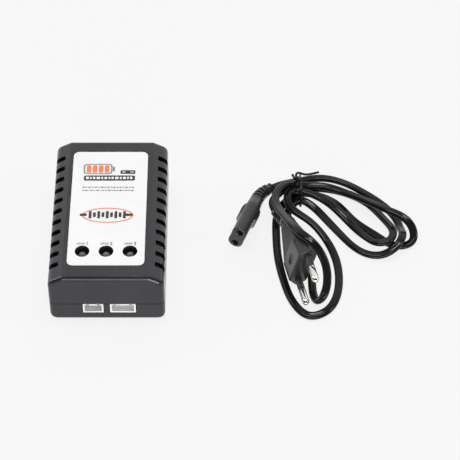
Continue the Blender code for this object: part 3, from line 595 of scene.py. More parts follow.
@dataclass(frozen=True)
class Finish:
    """One material: a colour with moulded grain, uneven shade, scuffs, dust and perhaps a pattern."""

    name: str
    colour: Colour
    roughness: float
    second: Colour = (0.0, 0.0, 0.0)
    shade: float = 0.12
    metallic: float = 0.0
    specular: float = 0.5
    grain: float = 2500.0
    depth: float = 0.02
    scuffed: float = 0.3
    dusted: float = 0.1
    clear: float = 0.0
    coat: float = 0.0
    pattern: Pattern = Pattern.PLAIN

    def material(self) -> bpy.types.Material:
        """The finish's material, made the first time that it is asked for."""
        found = bpy.data.materials.get(self.name)
        if found:
            return found
        material = bpy.data.materials.new(self.name)
        material.use_nodes = True
        sheet = Sheet(material.node_tree)
        shader = material.node_tree.nodes["Principled BSDF"]
        where = sheet.add("ShaderNodeTexCoord").outputs["Object"]
        grain = sheet.place(Effects.grain(), where, Scale=self.grain)
        scuffs = sheet.place(Effects.scuffs(), where, Amount=self.scuffed).outputs["Mask"]
        dust = sheet.place(Effects.dust(), where, Amount=self.dusted).outputs["Mask"]
        deeper = tuple(channel * (1 - 2 * self.shade) for channel in self.colour)
        paler = tuple(min(1.0, channel * (1 + self.shade) + 0.02 * self.shade) for channel in self.colour)
        colour = sheet.blend(sheet.ramp(grain.outputs["Shade"], 0.3, 0.7), deeper, paler)
        mask, height = self.marks(sheet, where, grain.outputs["Height"])
        if mask is not None:
            colour = sheet.blend(mask, colour, self.second)
        worn = tuple(min(1.0, channel * 1.25 + 0.03) for channel in self.colour)
        colour = sheet.blend(scuffs, colour, worn)
        sheet.link(sheet.blend(dust, colour, DUST), shader.inputs["Base Color"])
        uneven = sheet.maths("MULTIPLY_ADD", grain.outputs["Shade"], 0.16, self.roughness - 0.08)
        rubbed = sheet.maths("MULTIPLY_ADD", scuffs, 0.12, uneven)
        sheet.link(sheet.maths("MULTIPLY_ADD", dust, 0.3, rubbed), shader.inputs["Roughness"])
        bump = sheet.add("ShaderNodeBump", Strength=0.35, Distance=self.depth * MM)
        sheet.link(height, bump.inputs["Height"])
        sheet.link(bump.outputs["Normal"], shader.inputs["Normal"])
        fill(
            shader,
            {
                "Metallic": self.metallic,
                "Specular IOR Level": self.specular,
                "Transmission Weight": self.clear,
                "Coat Weight": self.coat,
            },
        )
        return material

    def marks(
        self, sheet: Sheet, where: bpy.types.NodeSocket, height: bpy.types.NodeSocket
    ) -> tuple[bpy.types.NodeSocket | None, bpy.types.NodeSocket]:
        """The pattern's mask, and the height that the bump follows.

        Args:
            sheet: The material's sheet.
            where: Object coordinates.
            height: The grain's height.

        Returns:
            A mask for the second colour, or None, and the height with the pattern's relief in it.
        """
        if self.pattern is Pattern.PLAIN:
            return None, height
        split = sheet.add("ShaderNodeSeparateXYZ")
        sheet.link(where, split.inputs["Vector"])
        if self.pattern is Pattern.TRACKS:
            bricks = sheet.add("ShaderNodeTexBrick", Scale=220.0)
            bricks.inputs["Mortar Size"].default_value = 0.06
            sheet.link(where, bricks.inputs["Vector"])
            mask = bricks.outputs["Fac"]
        elif self.pattern is Pattern.STRIPE:
            mask = sheet.ramp(split.outputs["X"], 0.0, 0.0004)
        else:
            pitch = 0.0009 if self.pattern is Pattern.WINDING else 0.00035
            along = split.outputs["Z"] if self.pattern is Pattern.WINDING else split.outputs["Y"]
            wave = sheet.maths("SINE", sheet.maths("MULTIPLY", along, 2 * math.pi / pitch))
            mask = sheet.ramp(wave, -0.2, 0.9)
        return mask, sheet.maths("MULTIPLY_ADD", mask, 1.5, height)


DUST = (0.42, 0.4, 0.38)
INK = {"roughness": 0.42, "depth": 0.004, "scuffed": 0.1, "dusted": 0.02}
METAL = {"metallic": 1.0, "shade": 0.08}

CASE = Finish(
    "case_plastic_satin", (0.009, 0.0075, 0.0125), 0.18,
    specular=0.55, grain=3200.0, depth=0.03, scuffed=0.2, dusted=0.015,
)
DISH = Finish(
    "dish_plastic_gloss", (0.03, 0.029, 0.033), 0.22, grain=1200.0, depth=0.004, scuffed=0.1, dusted=0.04
)
PAPER = Finish(
    "label_film_white", (0.77, 0.77, 0.77), 0.45, shade=0.012, depth=0.006, scuffed=0.03, dusted=0.02
)
ORANGE = Finish("label_ink_orange", (0.78, 0.2, 0.07), shade=0.05, **INK)
BLACK = Finish("label_ink_black", (0.022, 0.021, 0.022), shade=0.1, **INK)
GREY = Finish("label_ink_grey", (0.22, 0.215, 0.22), shade=0.05, **INK)
NYLON = Finish(
    "socket_nylon_natural", (0.94, 0.94, 0.93), 0.4, shade=0.03, grain=1800.0, depth=0.01, scuffed=0.05
)
LENS = Finish(
    "lamp_epoxy_clear", (0.2, 0.205, 0.225), 0.08,
    shade=0.02, depth=0.003, scuffed=0.05, dusted=0.03, clear=0.3,
)
TIN = Finish("pin_tin_bright", (0.72, 0.7, 0.66), 0.24, grain=900.0, depth=0.006, dusted=0.03, **METAL)
NICKEL = Finish("plug_pin_nickel", (0.7, 0.67, 0.63), 0.13, grain=700.0, depth=0.002, dusted=0.02, **METAL)
BRASS = Finish("contact_brass_dull", (0.35, 0.24, 0.1), 0.34, metallic=1.0, shade=0.1, depth=0.006)
STEEL = Finish("screw_steel_blackened", (0.16, 0.16, 0.17), 0.36, metallic=1.0, depth=0.01)
SINK = Finish(
    "heat_sink_aluminium", (0.62, 0.63, 0.65), 0.4, (0.5, 0.51, 0.53), metallic=1.0, pattern=Pattern.TURNING
)
LAMINATE = Finish(
    "board_solder_mask", (0.006, 0.045, 0.018), 0.35, (0.014, 0.08, 0.035), depth=0.03, pattern=Pattern.TRACKS
)
FERRITE = Finish("core_ferrite_sintered", (0.045, 0.045, 0.047), 0.6, grain=1500.0, depth=0.05)
TAPE = Finish(
    "coil_polyester_tape", (0.72, 0.5, 0.07), 0.3, (0.6, 0.38, 0.04), depth=0.05, pattern=Pattern.WINDING
)
SLEEVE = Finish(
    "capacitor_sleeve_blue", (0.015, 0.02, 0.075), 0.28, (0.45, 0.47, 0.5), depth=0.01, pattern=Pattern.STRIPE
)
RESIN = Finish("chip_resin_black", (0.02, 0.02, 0.021), 0.55, grain=2200.0, depth=0.03)
INLET = Finish("inlet_moulding_black", (0.018, 0.018, 0.019), 0.42, grain=2600.0)
DIPPED = Finish("dipped_coating_blue", (0.04, 0.17, 0.5), 0.25, shade=0.15, grain=500.0, depth=0.03)
SPACER = Finish("spacer_nylon_black", (0.025, 0.025, 0.026), 0.5)
PLATE = Finish("rating_film_silver", (0.55, 0.55, 0.56), 0.4, metallic=0.6, shade=0.03, depth=0.006)
JACKET = Finish(
    "cord_vinyl_gloss", (0.006, 0.0055, 0.0065), 0.13,
    shade=0.1, specular=0.22, grain=150.0, depth=0.001, scuffed=0.01, dusted=0.004,
)
MOULDING = Finish(
    "plug_vinyl_satin", (0.022, 0.02, 0.0235), 0.26, grain=1600.0, depth=0.03, scuffed=0.25, dusted=0.06
)


def numbered(stem: str, count: int) -> list[str]:
    """Node names that end in 1, 2 and so on."""
    return [f"{stem}_{number}" for number in range(1, count + 1)]


CAD_FINISHES = {
    CASE: ["upper_shell", "lower_shell"],
    PAPER: ["face_label"],
    PLATE: ["rating_plate"],
    NYLON: ["balance_socket_2s", "balance_socket_3s"],
    LENS: numbered("lamp_lens", 3),
    SPACER: numbered("lamp_spacer", 3),
    TIN: [*numbered("socket_2s_pin", 3), *numbered("socket_3s_pin", 4), "inlet_pin_left", "inlet_pin_right"],
    LAMINATE: ["circuit_board"],
    FERRITE: ["transformer_core"],
    TAPE: ["transformer_coil", "mains_choke"],
    SLEEVE: ["bulk_capacitor", *numbered("output_capacitor", 2)],
    RESIN: [
        "bridge_rectifier", "switching_chip", "optocoupler", "control_chip", *numbered("charge_transistor", 3)
    ],
    INLET: ["mains_inlet"],
    DIPPED: ["fuse", "safety_capacitor"],
    SINK: ["heat_sink"],
    STEEL: numbered("case_screw", 4),
    BRASS: numbered("connector_contact", 2),
    MOULDING: numbered("plug_sleeve", 2),
}


# Mains lead


@dataclass
class Cord:
    """The flat two-core lead: two round cores in one jacket, settled a little onto the ground."""

    core_offset: float = 0.72
    core_radius: float = 1.36
    rings: int = 760
    around: int = 28
    lying_height: float = 2.3
    settle: float = 0.7
    settle_reach: float = 4.0
    roll_degrees: float = 16.0
    roll_length: float = 57.0
    route: list[Point] = field(default_factory=list)

    def section(self) -> Array:
        """The jacket's outline: at each x the height of the nearer core's circle, closed round both sides.

        Returns:
            Points (x, y) once round, with x = (offset + radius) cos v.
        """
        angle = full_turn(self.around) + math.pi / self.around
        x = (self.core_offset + self.core_radius) * np.cos(angle)
        height = np.sqrt(np.clip(self.core_radius**2 - (np.abs(x) - self.core_offset) ** 2, 0.0, None))
        return np.stack([x, height * np.sign(np.sin(angle))], axis=1)

    def centreline(self) -> Array:
        """The route's smooth curve, lowered by the settling where it is near the ground."""
        path = smooth_route(self.route, self.rings)
        path[:, 2] -= self.settle * np.exp(-(path[:, 2] - self.lying_height) / self.settle_reach)
        return path

    def build(self, with_pieces: list[object]) -> bpy.types.Object:
        """Args:
            with_pieces: What is on the lead: its plug, its connector and the tie. Not used.

        Returns:
            The lead.
        """
        path = self.centreline()
        reached = walked(path)
        ahead = headings(path)
        level = unit(np.cross(ahead, UP))
        roll = math.radians(self.roll_degrees) * np.sin(2 * math.pi * reached / self.roll_length)
        across = level * np.cos(roll)[:, None] + np.cross(ahead, level) * np.sin(roll)[:, None]
        obj = piece("lead_jacket", closed_skin(swept(path, across, self.section())), JACKET, sharp=60.0)
        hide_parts("mains_cord")
        return obj


@dataclass
class Relief:
    """A ribbed strain relief that bends along a curve with three guide points, tapering to the cord."""

    path: tuple[Point, Point, Point]
    end_radius: float = 2.9
    ribs: int = 5
    rib_height: float = 0.75
    run: float = 4.0
    stations: int = 90

    def rings(self, neck: Array) -> Array:
        """Rings from the neck's section to a round end, along a cubic curve that leaves straight back.

        place(u) = (1-u)^3 A + 3u(1-u)^2 (A + run) + 3u^2(1-u) B + u^3 C, with run a step along Y.

        Each section is (1-u) neck + u circle, and grows by the ribs' height where a rib stands.

        Args:
            neck: The section where the relief starts.

        Returns:
            The rings.
        """
        share = np.linspace(0.0, 1.0, self.stations)[1:, None]
        start, guide, end = (np.array(point, float) for point in self.path)
        near = start + [0.0, self.run, 0.0]
        place = (1 - share) ** 3 * start + 3 * share * (1 - share) ** 2 * near
        place = place + 3 * share**2 * (1 - share) * guide + share**3 * end
        around = np.arctan2(neck[:, 1], neck[:, 0])
        circle = self.end_radius * np.stack([np.cos(around), np.sin(around)], axis=1)
        blend = share[:, :, None]
        section = (1 - blend) * neck + blend * circle
        wave = np.cos(2 * math.pi * self.ribs * share[:, 0])
        standing = window(wave, -0.05, 9.0, 0.5) * window(share[:, 0], 0.1, 0.97, 0.04)
        length = np.linalg.norm(section, axis=2, keepdims=True)
        inset = self.rib_height * (1 - standing) * window(share[:, 0], 0.06, 0.99, 0.04)
        section = section * (1 - inset[:, None, None] / length)
        across = np.tile([1.0, 0.0, 0.0], (len(place), 1))
        return swept(place, across, section)


def moulding(name: str, front: Array, relief: Relief, turn: Array, origin: Array) -> bpy.types.Object:
    """A connector's or a plug's body with its strain relief, moulded as one.

    Args:
        name: The piece's name.
        front: The body's rings, from its face to its neck.
        relief: The strain relief that goes on from the neck.
        turn: How the body is turned.
        origin: Where its face goes.

    Returns:
        The object.
    """
    neck = front[-1][:, [0, 2]]
    rings = np.concatenate([front, relief.rings(neck)])
    return piece(name, closed_skin(rings).placed(turn, origin), MOULDING)


def stadium(width: Array, height: Array, around: int) -> Array:
    """Rings with two straight sides and round ends: half circles of half the width, moved apart in Z.

    Args:
        width: The width at each station.
        height: The height at each station.
        around: Points on a ring.

    Returns:
        An array of station, point and (x, z).
    """
    angle = 2 * math.pi * (np.arange(around) + 0.5) / around
    radius, lift = width[:, None] / 2, (height - width)[:, None] / 2
    x = radius * np.cos(angle)
    z = radius * np.sin(angle) + lift * np.tanh(6 * np.sin(angle)) / math.tanh(6)
    return np.stack([x, z], axis=-1)


def nose_rounding(y: Array, radius: float) -> Array:
    """How far a section draws in by a face rounded to radius r: r - sqrt(r^2 - (r - y)^2), then nothing."""
    return radius - np.sqrt(np.clip(radius**2 - np.clip(radius - y, 0, None) ** 2, 0, None))


@dataclass
class ApplianceConnector:
    """The figure-eight connector: a waisted barrel with two holes, grip pads and a ribbed relief."""

    nose: Point = (63.0, 0.6, 7.5)
    turn: float = -21.5
    lean: float = 17.0
    width: float = 7.7
    height: float = 14.6
    barrel: float = 26.2
    neck: Place = (7.0, 10.4)
    hole_spacing: float = 8.6
    hole_radius: float = 1.65
    hole_depth: float = 12.9
    edge: float = 0.6
    pad: Place = (12.4, 18.8)
    pad_height: float = 1.15
    pad_ribs: float = 1.7
    around: int = 72
    relief: Relief = field(
        default_factory=lambda: Relief(((0.0, 26.2, 0.0), (0.3, 33.5, 0.1), (3.8, 38.1, 0.9)), ribs=5)
    )

    def barrel_rings(self) -> Array:
        """Stadium sections along Y, rounded at the nose and drawn in to the neck.

        The broad faces go in by a bell curve of z at the waist of the front part, and out by the pads'
        windows of y and z times a wave along y.

        Returns:
            The rings.
        """
        y = np.concatenate([np.linspace(0.0, self.edge, 6), np.linspace(self.edge, self.barrel, 120)[1:]])
        rounding = nose_rounding(y, self.edge)
        shrink = smooth_step((y / self.barrel - 0.7) / 0.3)
        width = self.width + (self.neck[0] - self.width) * shrink - 2 * rounding
        height = self.height + (self.neck[1] - self.height) * shrink - 2 * rounding
        section = stadium(width, height, self.around)
        x, z = section[..., 0], section[..., 1]
        along = y[:, None]
        waist = 0.3 * np.exp(-((z / 1.6) ** 2)) * window(along, -9.0, 8.0, 3.0)
        standing = window(along, *self.pad, 1.6) * window(z, -4.4, 4.4, 1.6)
        ribs = 0.72 + 0.28 * np.cos(2 * math.pi * along / self.pad_ribs)
        share = np.sign(x) * np.clip(np.abs(x) / (self.width / 2), 0, 1)
        x = x + share * (self.pad_height * standing * ribs - waist)
        return np.stack([x, np.broadcast_to(along, x.shape), z], axis=-1)

    def build(self) -> bpy.types.Object:
        """Make the connector with its two holes.

        Returns:
            The connector.
        """
        turn, origin = turn_matrix(self.lean, self.turn), np.array(self.nose)
        obj = moulding("connector_moulding", self.barrel_rings(), self.relief, turn, origin)
        radius, depth = self.hole_radius, self.hole_depth
        bit = lathe([(radius + 0.4, 1.0), (radius + 0.4, 0.0), (radius, -0.4), (radius, -depth)], 32)
        low, high = (np.array([0.0, 0.0, side * self.hole_spacing / 2]) for side in (-1, 1))
        bits = bit.placed(FORWARD, low).joined(bit.placed(FORWARD, high))
        drill(obj, bits.placed(turn, origin))
        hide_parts("appliance_connector")
        return obj


@dataclass
class MainsPlug:
    """The flat plug: a six-sided block with a thumb recess, a ribbed tapering grip and a ribbed relief."""

    face: Point = (95.3, -23.6, 12.9)
    turn: float = 13.0
    lean: float = 15.0
    height: float = 26.0
    flat: float = 19.0
    thickness: float = 9.4
    block: float = 11.5
    grip_end: float = 28.5
    neck: Point = (10.0, 5.0, 7.0)
    edge: float = 0.7
    step: float = 0.35
    recess: Point = (2.3, 3.3, 0.8)
    rib_pitch: float = 1.45
    rib_height: float = 0.32
    around: int = 144
    pin_spacing: float = 16.6
    pin_radius: float = 1.8
    pin_length: float = 16.7
    pin_sleeve: float = 7.0
    pin_foot: float = 1.2
    pin_dome: float = 2.4
    relief: Relief = field(
        default_factory=lambda: Relief(((0.0, 28.5, 0.0), (-0.4, 36.4, -4.2), (-1.7, 42.8, -5.1)), ribs=6)
    )

    def outline(self) -> tuple[Array, Array, Array]:
        """Shares of half thickness, half flat and half height at each point round the rounded hexagon.

        The corners are joined by straight lines and then averaged over a few neighbours, which rounds them.

        Returns:
            The three shares: x = a T/2 and z = b F/2 + c H/2.
        """
        places = np.array([0.0, 0.175, 0.35, 0.5, 0.675, 0.85, 1.0]) * self.around
        shares = [[1, 0, -1, -1, 0, 1, 1], [1, 0, 1, -1, 0, -1, 1], [0, 1, 0, 0, -1, 0, 0]]
        curves = [np.interp(np.arange(self.around), places, share) for share in shares]
        weights = np.array([1.0, 2.0, 3.0, 2.0, 1.0]) / 9.0
        reach = len(weights) // 2
        a, b, c = (np.convolve(np.pad(curve, reach, mode="wrap"), weights, mode="valid") for curve in curves)
        return a, b, c

    def body_rings(self) -> Array:
        """Sections of the block and the grip along Y, with the recess and the ribs in both broad faces.

        Returns:
            The rings.
        """
        y = np.concatenate(
            [
                np.linspace(0.0, self.edge, 5),
                np.linspace(self.edge, self.block - 0.05, 40)[1:],
                np.linspace(self.block + 0.05, self.grip_end, 120),
            ]
        )
        taper = np.clip((y - self.block) / (self.grip_end - self.block), 0.0, 1.0)
        rounding = nose_rounding(y, self.edge)
        lowered = self.step * (y > self.block) * (1 - taper)
        height = self.height + (self.neck[0] - self.height) * taper - 2 * rounding - lowered
        flat = self.flat + (self.neck[1] - self.flat) * taper - rounding
        thickness = self.thickness + (self.neck[2] - self.thickness) * taper - 2 * rounding - 2 * lowered
        a, b, c = self.outline()
        x = a * thickness[:, None] / 2
        z = b * flat[:, None] / 2 + c * height[:, None] / 2
        along = y[:, None]
        reach_y, reach_z, deep = self.recess
        far = np.sqrt(((along - self.block / 2) / reach_y) ** 2 + (z / reach_z) ** 2)
        dent = deep * np.clip(1.1 - far**2, 0.0, 1.0) ** 0.6
        ribbed = window(along, self.block + 1.2, self.grip_end - 0.8, 0.6)
        ribbed = ribbed * window(np.abs(z) - flat[:, None] / 2, -99.0, -0.6, 0.5)
        grooves = self.rib_height * ribbed * (0.5 - 0.5 * np.cos(2 * math.pi * along / self.rib_pitch))
        x = x - np.sign(x) * (np.abs(a) > 0.98) * (dent + grooves)
        return np.stack([x, np.broadcast_to(along, x.shape), z], axis=-1)

    def build(self) -> list[bpy.types.Object]:
        """Make the plug and its two pins.

        Returns:
            The plug's moulding, then its pins.
        """
        turn, origin = turn_matrix(self.lean, self.turn), np.array(self.face)
        plug = moulding("plug_moulding", self.body_rings(), self.relief, turn, origin)
        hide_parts("mains_plug")
        made = [plug]
        for number, side in ((1, -1), (2, 1)):
            centre = np.array([0.0, 0.0, side * self.pin_spacing / 2])
            skin = lathe(self.pin_profile()).placed(FORWARD, centre).placed(turn, origin)
            pin = piece(f"plug_pin_{number}_turned", skin, NICKEL)
            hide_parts(f"plug_pin_{number}")
            made.append(pin)
        return made

    def pin_profile(self) -> list[Place]:
        """A pin from its foot, inside the sleeve, to its domed tip, which is half an ellipse."""
        full, foot, sleeve = self.pin_radius, self.pin_foot, self.pin_sleeve
        dome = np.radians(np.linspace(0.0, 90.0, 9))
        start = self.pin_length - self.pin_dome
        tip = [(full * math.cos(a), start + self.pin_dome * math.sin(a)) for a in dome[:-1]]
        neck = [(foot, 0.1), (foot, sleeve), (full - 0.15, sleeve), (full, sleeve + 0.2)]
        return [(0.0, 0.1), *neck, *tip, (0.0, self.pin_length)]


@dataclass
class WireTie:
    """A thin coated wire round the bundle, its two ends twisted together on top."""

    radius: float = 0.6
    twist_radius: float = 0.66
    twist_turns: float = 1.5
    twist_start: Point = (95.3, 35.2, 12.3)
    twist_end: Point = (92.9, 36.6, 12.9)
    rings: int = 420
    around: int = 12
    ring: tuple[Point, ...] = (
        (94.6, 38.2, 11.4), (95.0, 41.8, 8.0), (95.6, 45.6, 5.2), (95.9, 45.9, 1.6), (95.6, 41.0, 0.8),
        (95.2, 35.0, 0.8), (95.2, 30.0, 0.9), (95.4, 26.9, 2.1), (95.6, 26.4, 5.0), (95.8, 28.0, 9.0),
        (95.7, 30.8, 10.8), (95.6, 33.2, 11.6),
    )
    long_end: tuple[Point, ...] = (
        (93.4, 38.4, 13.9), (96.5, 38.6, 13.6), (100.0, 38.8, 13.2), (104.8, 40.4, 13.0),
    )
    short_end: tuple[Point, ...] = ((91.9, 36.8, 13.3), (91.2, 38.0, 14.2))

    def strand(self, phase: float, count: int = 12) -> list[Point]:
        """One wire of the twist: a helix, axis(u) + r (cos(2 pi n u + phase) e1 + sin(2 pi n u + phase) e2).

        Args:
            phase: Where round the axis it starts.
            count: Points on the helix.

        Returns:
            Its points, from the ring outwards.
        """
        start, end = np.array(self.twist_start), np.array(self.twist_end)
        ahead = unit(end - start)
        first = unit(np.cross(ahead, UP))
        second = np.cross(ahead, first)
        share = np.linspace(0.0, 1.0, count)[:, None]
        angle = 2 * math.pi * self.twist_turns * share + phase
        points = start + share * (end - start)
        points = points + self.twist_radius * (np.cos(angle) * first + np.sin(angle) * second)
        return [tuple(point) for point in points.tolist()]

    def build(self) -> bpy.types.Object:
        """Make the tie.

        Returns:
            The tie.
        """
        one, other = self.strand(0.0), self.strand(math.pi)
        route = [*self.short_end[::-1], *one[::-1], *self.ring, *other, *self.long_end]
        path = smooth_route(route, self.rings)
        angle = full_turn(self.around)
        section = self.radius * np.stack([np.cos(angle), np.sin(angle)], axis=1)
        ahead = headings(path)
        across = np.zeros_like(path)
        carried = np.cross(ahead[0], UP)
        for index, heading in enumerate(ahead):
            carried = unit(carried - carried.dot(heading) * heading)
            across[index] = carried
        obj = piece("tie_wire", closed_skin(swept(path, across, section)), JACKET)
        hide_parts("wire_tie")
        return obj


# Face


@dataclass
class FacePrint:
    """The label's generic art: a battery, a bar, rows of dashes, an oval round a cell symbol, and numbers."""

    surface: float = 30.61
    ink: float = 0.05
    over: float = 0.06
    around: int = 64
    cell: Place = (-6.4, 26.1)
    cell_size: Place = (14.4, 7.0)
    cell_hole: Place = (13.0, 5.8)
    cell_bars: int = 4
    cell_pitch: float = 3.0
    bar_size: Place = (2.3, 4.9)
    knob_size: Place = (1.1, 3.2)
    oval: Place = (-0.4, -4.9)
    oval_size: Place = (25.2, 9.8)
    oval_hole: Place = (23.6, 8.6)
    banner: Place = (-0.5, 19.95)
    banner_size: Place = (25.4, 3.5)
    badge: Place = (8.6, 24.0)
    badge_size: Place = (7.4, 2.5)
    symbol_y: float = -4.6
    symbol_bars: int = 9
    row_ends: Place = (-13.6, 12.4)
    rows: Place = (13.65, 11.6)
    number_size: float = 2.6
    number_weight: float = 0.08
    number_shift: Place = (2.3, 4.8)

    def rounded(self, centre: Place, size: Place, power: float = 6.0) -> Array:
        """A superellipse in the label's plane: |x/a|^p + |y/b|^p = 1, with p = 2 for a plain ellipse.

        Args:
            centre: Its middle.
            size: Its width and height.
            power: How square its corners are.

        Returns:
            Its points (x, y), once round.
        """
        angle = full_turn(self.around)
        cosine, sine = np.cos(angle), np.sin(angle)
        x = centre[0] + size[0] / 2 * np.sign(cosine) * np.abs(cosine) ** (2 / power)
        y = centre[1] + size[1] / 2 * np.sign(sine) * np.abs(sine) ** (2 / power)
        return np.stack([x, y], axis=1)

    def patch(self, outline: Array, lift: float = 0.0) -> Skin:
        """A thin flat solid inside an outline.

        Args:
            outline: Points (x, y) once round.
            lift: How far above the label it starts.

        Returns:
            The solid.
        """
        low = np.insert(outline, 2, self.surface + lift, axis=1)
        high = np.insert(outline, 2, self.surface + lift + self.ink, axis=1)
        return closed_skin(np.stack([low, high]))

    def band(self, outer: Array, inner: Array) -> Skin:
        """A thin flat solid between two outlines.

        Args:
            outer: The outer outline.
            inner: The inner outline.

        Returns:
            The solid.
        """
        low, high = self.surface, self.surface + self.ink
        edges = ((outer, low), (outer, high), (inner, high), (inner, low))
        return closed_skin(np.stack([np.insert(line, 2, z, axis=1) for line, z in edges]), looped=True)

    def dashes(
        self,
        start: float,
        end: float,
        y: float,
        height: float,
        widths: list[float],
        gap: float,
        lift: float = 0.0,
    ) -> list[Skin]:
        """A row of dashes whose widths repeat.

        Args:
            start: Where the row starts in X.
            end: Where it ends.
            y: Its middle in Y.
            height: How tall a dash is.
            widths: Widths of the dashes, used in turn.
            gap: The space between two dashes.
            lift: How far above the label they start.

        Returns:
            One solid for each dash.
        """
        row = []
        x = start
        for width in itertools.cycle(widths):
            if x + width > end:
                return row
            row.append(self.patch(self.rounded((x + width / 2, y), (width, height)), lift))
            x += width + gap

    def put(self, name: str, skins: list[Skin], finish: Finish) -> None:
        """Join some ink into one piece.

        Args:
            name: The piece's name.
            skins: The solids.
            finish: The ink.
        """
        piece(name, functools.reduce(Skin.joined, skins), finish, Body.CHARGER, 30.0)

    def numbers(self, places: list[Place]) -> None:
        """Number the lamps.

        Args:
            places: The middle of each number.
        """
        for index, (x, y) in enumerate(places, start=1):
            curve = bpy.data.curves.new(f"lamp_number_{index}", "FONT")
            curve.body = str(index)
            curve.size = self.number_size * MM
            curve.extrude = self.ink / 2 * MM
            curve.offset = self.number_weight * MM
            curve.align_x = "CENTER"
            curve.align_y = "CENTER"
            holder = shown(f"lamp_number_{index}_outline", curve)
            bpy.context.view_layer.update()
            graph = bpy.context.evaluated_depsgraph_get()
            mesh = bpy.data.meshes.new_from_object(holder.evaluated_get(graph))
            bpy.data.objects.remove(holder)
            mesh.transform(Matrix.Translation((x * MM, y * MM, (self.surface + self.ink / 2) * MM)))
            mesh.materials.clear()
            stand(f"lamp_number_{index}", mesh, GREY, Body.CHARGER)

    def build(self, lamps: list[Place]) -> None:
        """Print everything on the label.

        Args:
            lamps: The middle of each lamp.
        """
        (cell_x, cell_y), (right, up) = self.cell, self.number_shift
        first = cell_x - self.cell_pitch * self.cell_bars / 2 + self.cell_pitch / 2
        bars = [(first + self.cell_pitch * step, cell_y) for step in range(self.cell_bars)]
        oval = self.band(*(self.rounded(self.oval, size, 2.0) for size in (self.oval_size, self.oval_hole)))
        charge = [self.patch(self.rounded(bar, self.bar_size)) for bar in bars]
        self.put("print_orange", [*charge, oval], ORANGE)
        shell = self.band(*(self.rounded(self.cell, size) for size in (self.cell_size, self.cell_hole)))
        knob = self.patch(self.rounded((cell_x + 7.9, cell_y), self.knob_size))
        rows = self.dashes(*self.row_ends, self.rows[0], 0.8, [1.2, 0.6, 1.5, 0.8], 0.5)
        rows += self.dashes(*self.row_ends, self.rows[1], 0.8, [0.7, 1.4, 0.5, 1.1], 0.5)
        for x, y in lamps:
            rows += self.dashes(x - 2.7, x + 1.4, y + up, 1.0, [0.7], 0.3)
        self.put("print_grey", [shell, knob, *rows], GREY)
        bar = self.patch(self.rounded(self.banner, self.banner_size, 12.0))
        badge = self.patch(self.rounded(self.badge, self.badge_size, 8.0))
        sizes = [(-9.0 + 2.1 * step, (1.35, 3.0 if step % 2 else 4.6)) for step in range(self.symbol_bars)]
        sizes += [(x, (3.4, 1.5)) for x in (-12.3, 10.1)]
        symbol = [self.patch(self.rounded((x, self.symbol_y), size, 9.0), self.over) for x, size in sizes]
        self.put("print_black", [bar, badge, *symbol], BLACK)
        white = self.dashes(-12.2, 11.4, self.banner[1], 1.5, [1.5, 0.8, 1.2, 1.8, 0.9], 0.6, self.over)
        signs = ((-2.0, (1.5, 0.45)), (-2.0, (0.45, 1.5)), (2.0, (1.6, 0.45)))
        for shift, size in signs:
            middle = (self.badge[0] + shift, self.badge[1])
            white.append(self.patch(self.rounded(middle, size), self.over))
        self.put("print_white", white, PAPER)
        self.numbers([(x + right, y + up) for x, y in lamps])


@dataclass
class Lamps:
    """Three lamps: a glossy dished surround, and a reflector cup inside the clear lens."""

    first_x: float = -11.85
    pitch: float = 11.55
    y: float = -28.1
    face: float = 30.6
    dish_radius: float = 3.57
    bore_radius: float = 2.31
    dish_depth: float = 3.8
    wall: float = 0.14
    sunk: float = 0.02
    cup_depth: float = 4.6
    cup_profile: tuple[Place, ...] = (
        (0.0, 0.0), (0.7, 0.0), (1.05, 0.7), (0.9, 0.7), (0.5, 0.15), (0.0, 0.15),
    )

    def places(self) -> list[Place]:
        """The middle of each lamp."""
        return [(self.first_x + self.pitch * step, self.y) for step in range(3)]

    def dish_profile(self) -> list[Place]:
        """The surround: a bowl, r = bore + (rim - bore) sqrt(1 - depth share), with a thin wall outside."""
        share = np.linspace(0.0, 1.0, 12)
        inner = self.bore_radius + (self.dish_radius - self.bore_radius - self.wall) * np.sqrt(1 - share)
        depth = self.dish_depth * share
        bowl = [(float(r), -float(d)) for r, d in zip(inner, depth)]
        outer = [(float(r + self.wall * 0.5), -float(d) - 0.1) for r, d in zip(inner[::-1], depth[::-1])]
        return bowl + outer

    def build(self) -> None:
        """Make the surrounds and what is seen inside the lenses."""
        dish = lathe(self.dish_profile(), looped=True)
        cup = lathe(self.cup_profile, 24)
        for number, (x, y) in enumerate(self.places(), start=1):
            rim, foot = np.array([x, y, self.face - self.sunk]), np.array([x, y, self.face - self.cup_depth])
            piece(f"lamp_surround_{number}", dish.placed(np.eye(3), rim), DISH, Body.CHARGER)
            piece(f"lamp_cup_{number}", cup.placed(np.eye(3), foot), TIN, Body.CHARGER)


# Studio


WHITE = (1.0, 1.0, 1.0, 1.0)


@dataclass(frozen=True)
class Softbox:
    """An area light: its place and size in metres, and its power in watts."""

    name: str
    place: Point
    size: Place
    power: float

    def hang(self, middle: Point) -> None:
        """Put the light up, looking at a point."""
        data = bpy.data.lights.new(self.name, "AREA")
        data.shape = "RECTANGLE"
        data.size, data.size_y = self.size
        data.energy = self.power
        obj = shown(self.name, data)
        obj.location = self.place
        obj.rotation_euler = (Vector(middle) - Vector(self.place)).to_track_quat("-Z", "Y").to_euler()


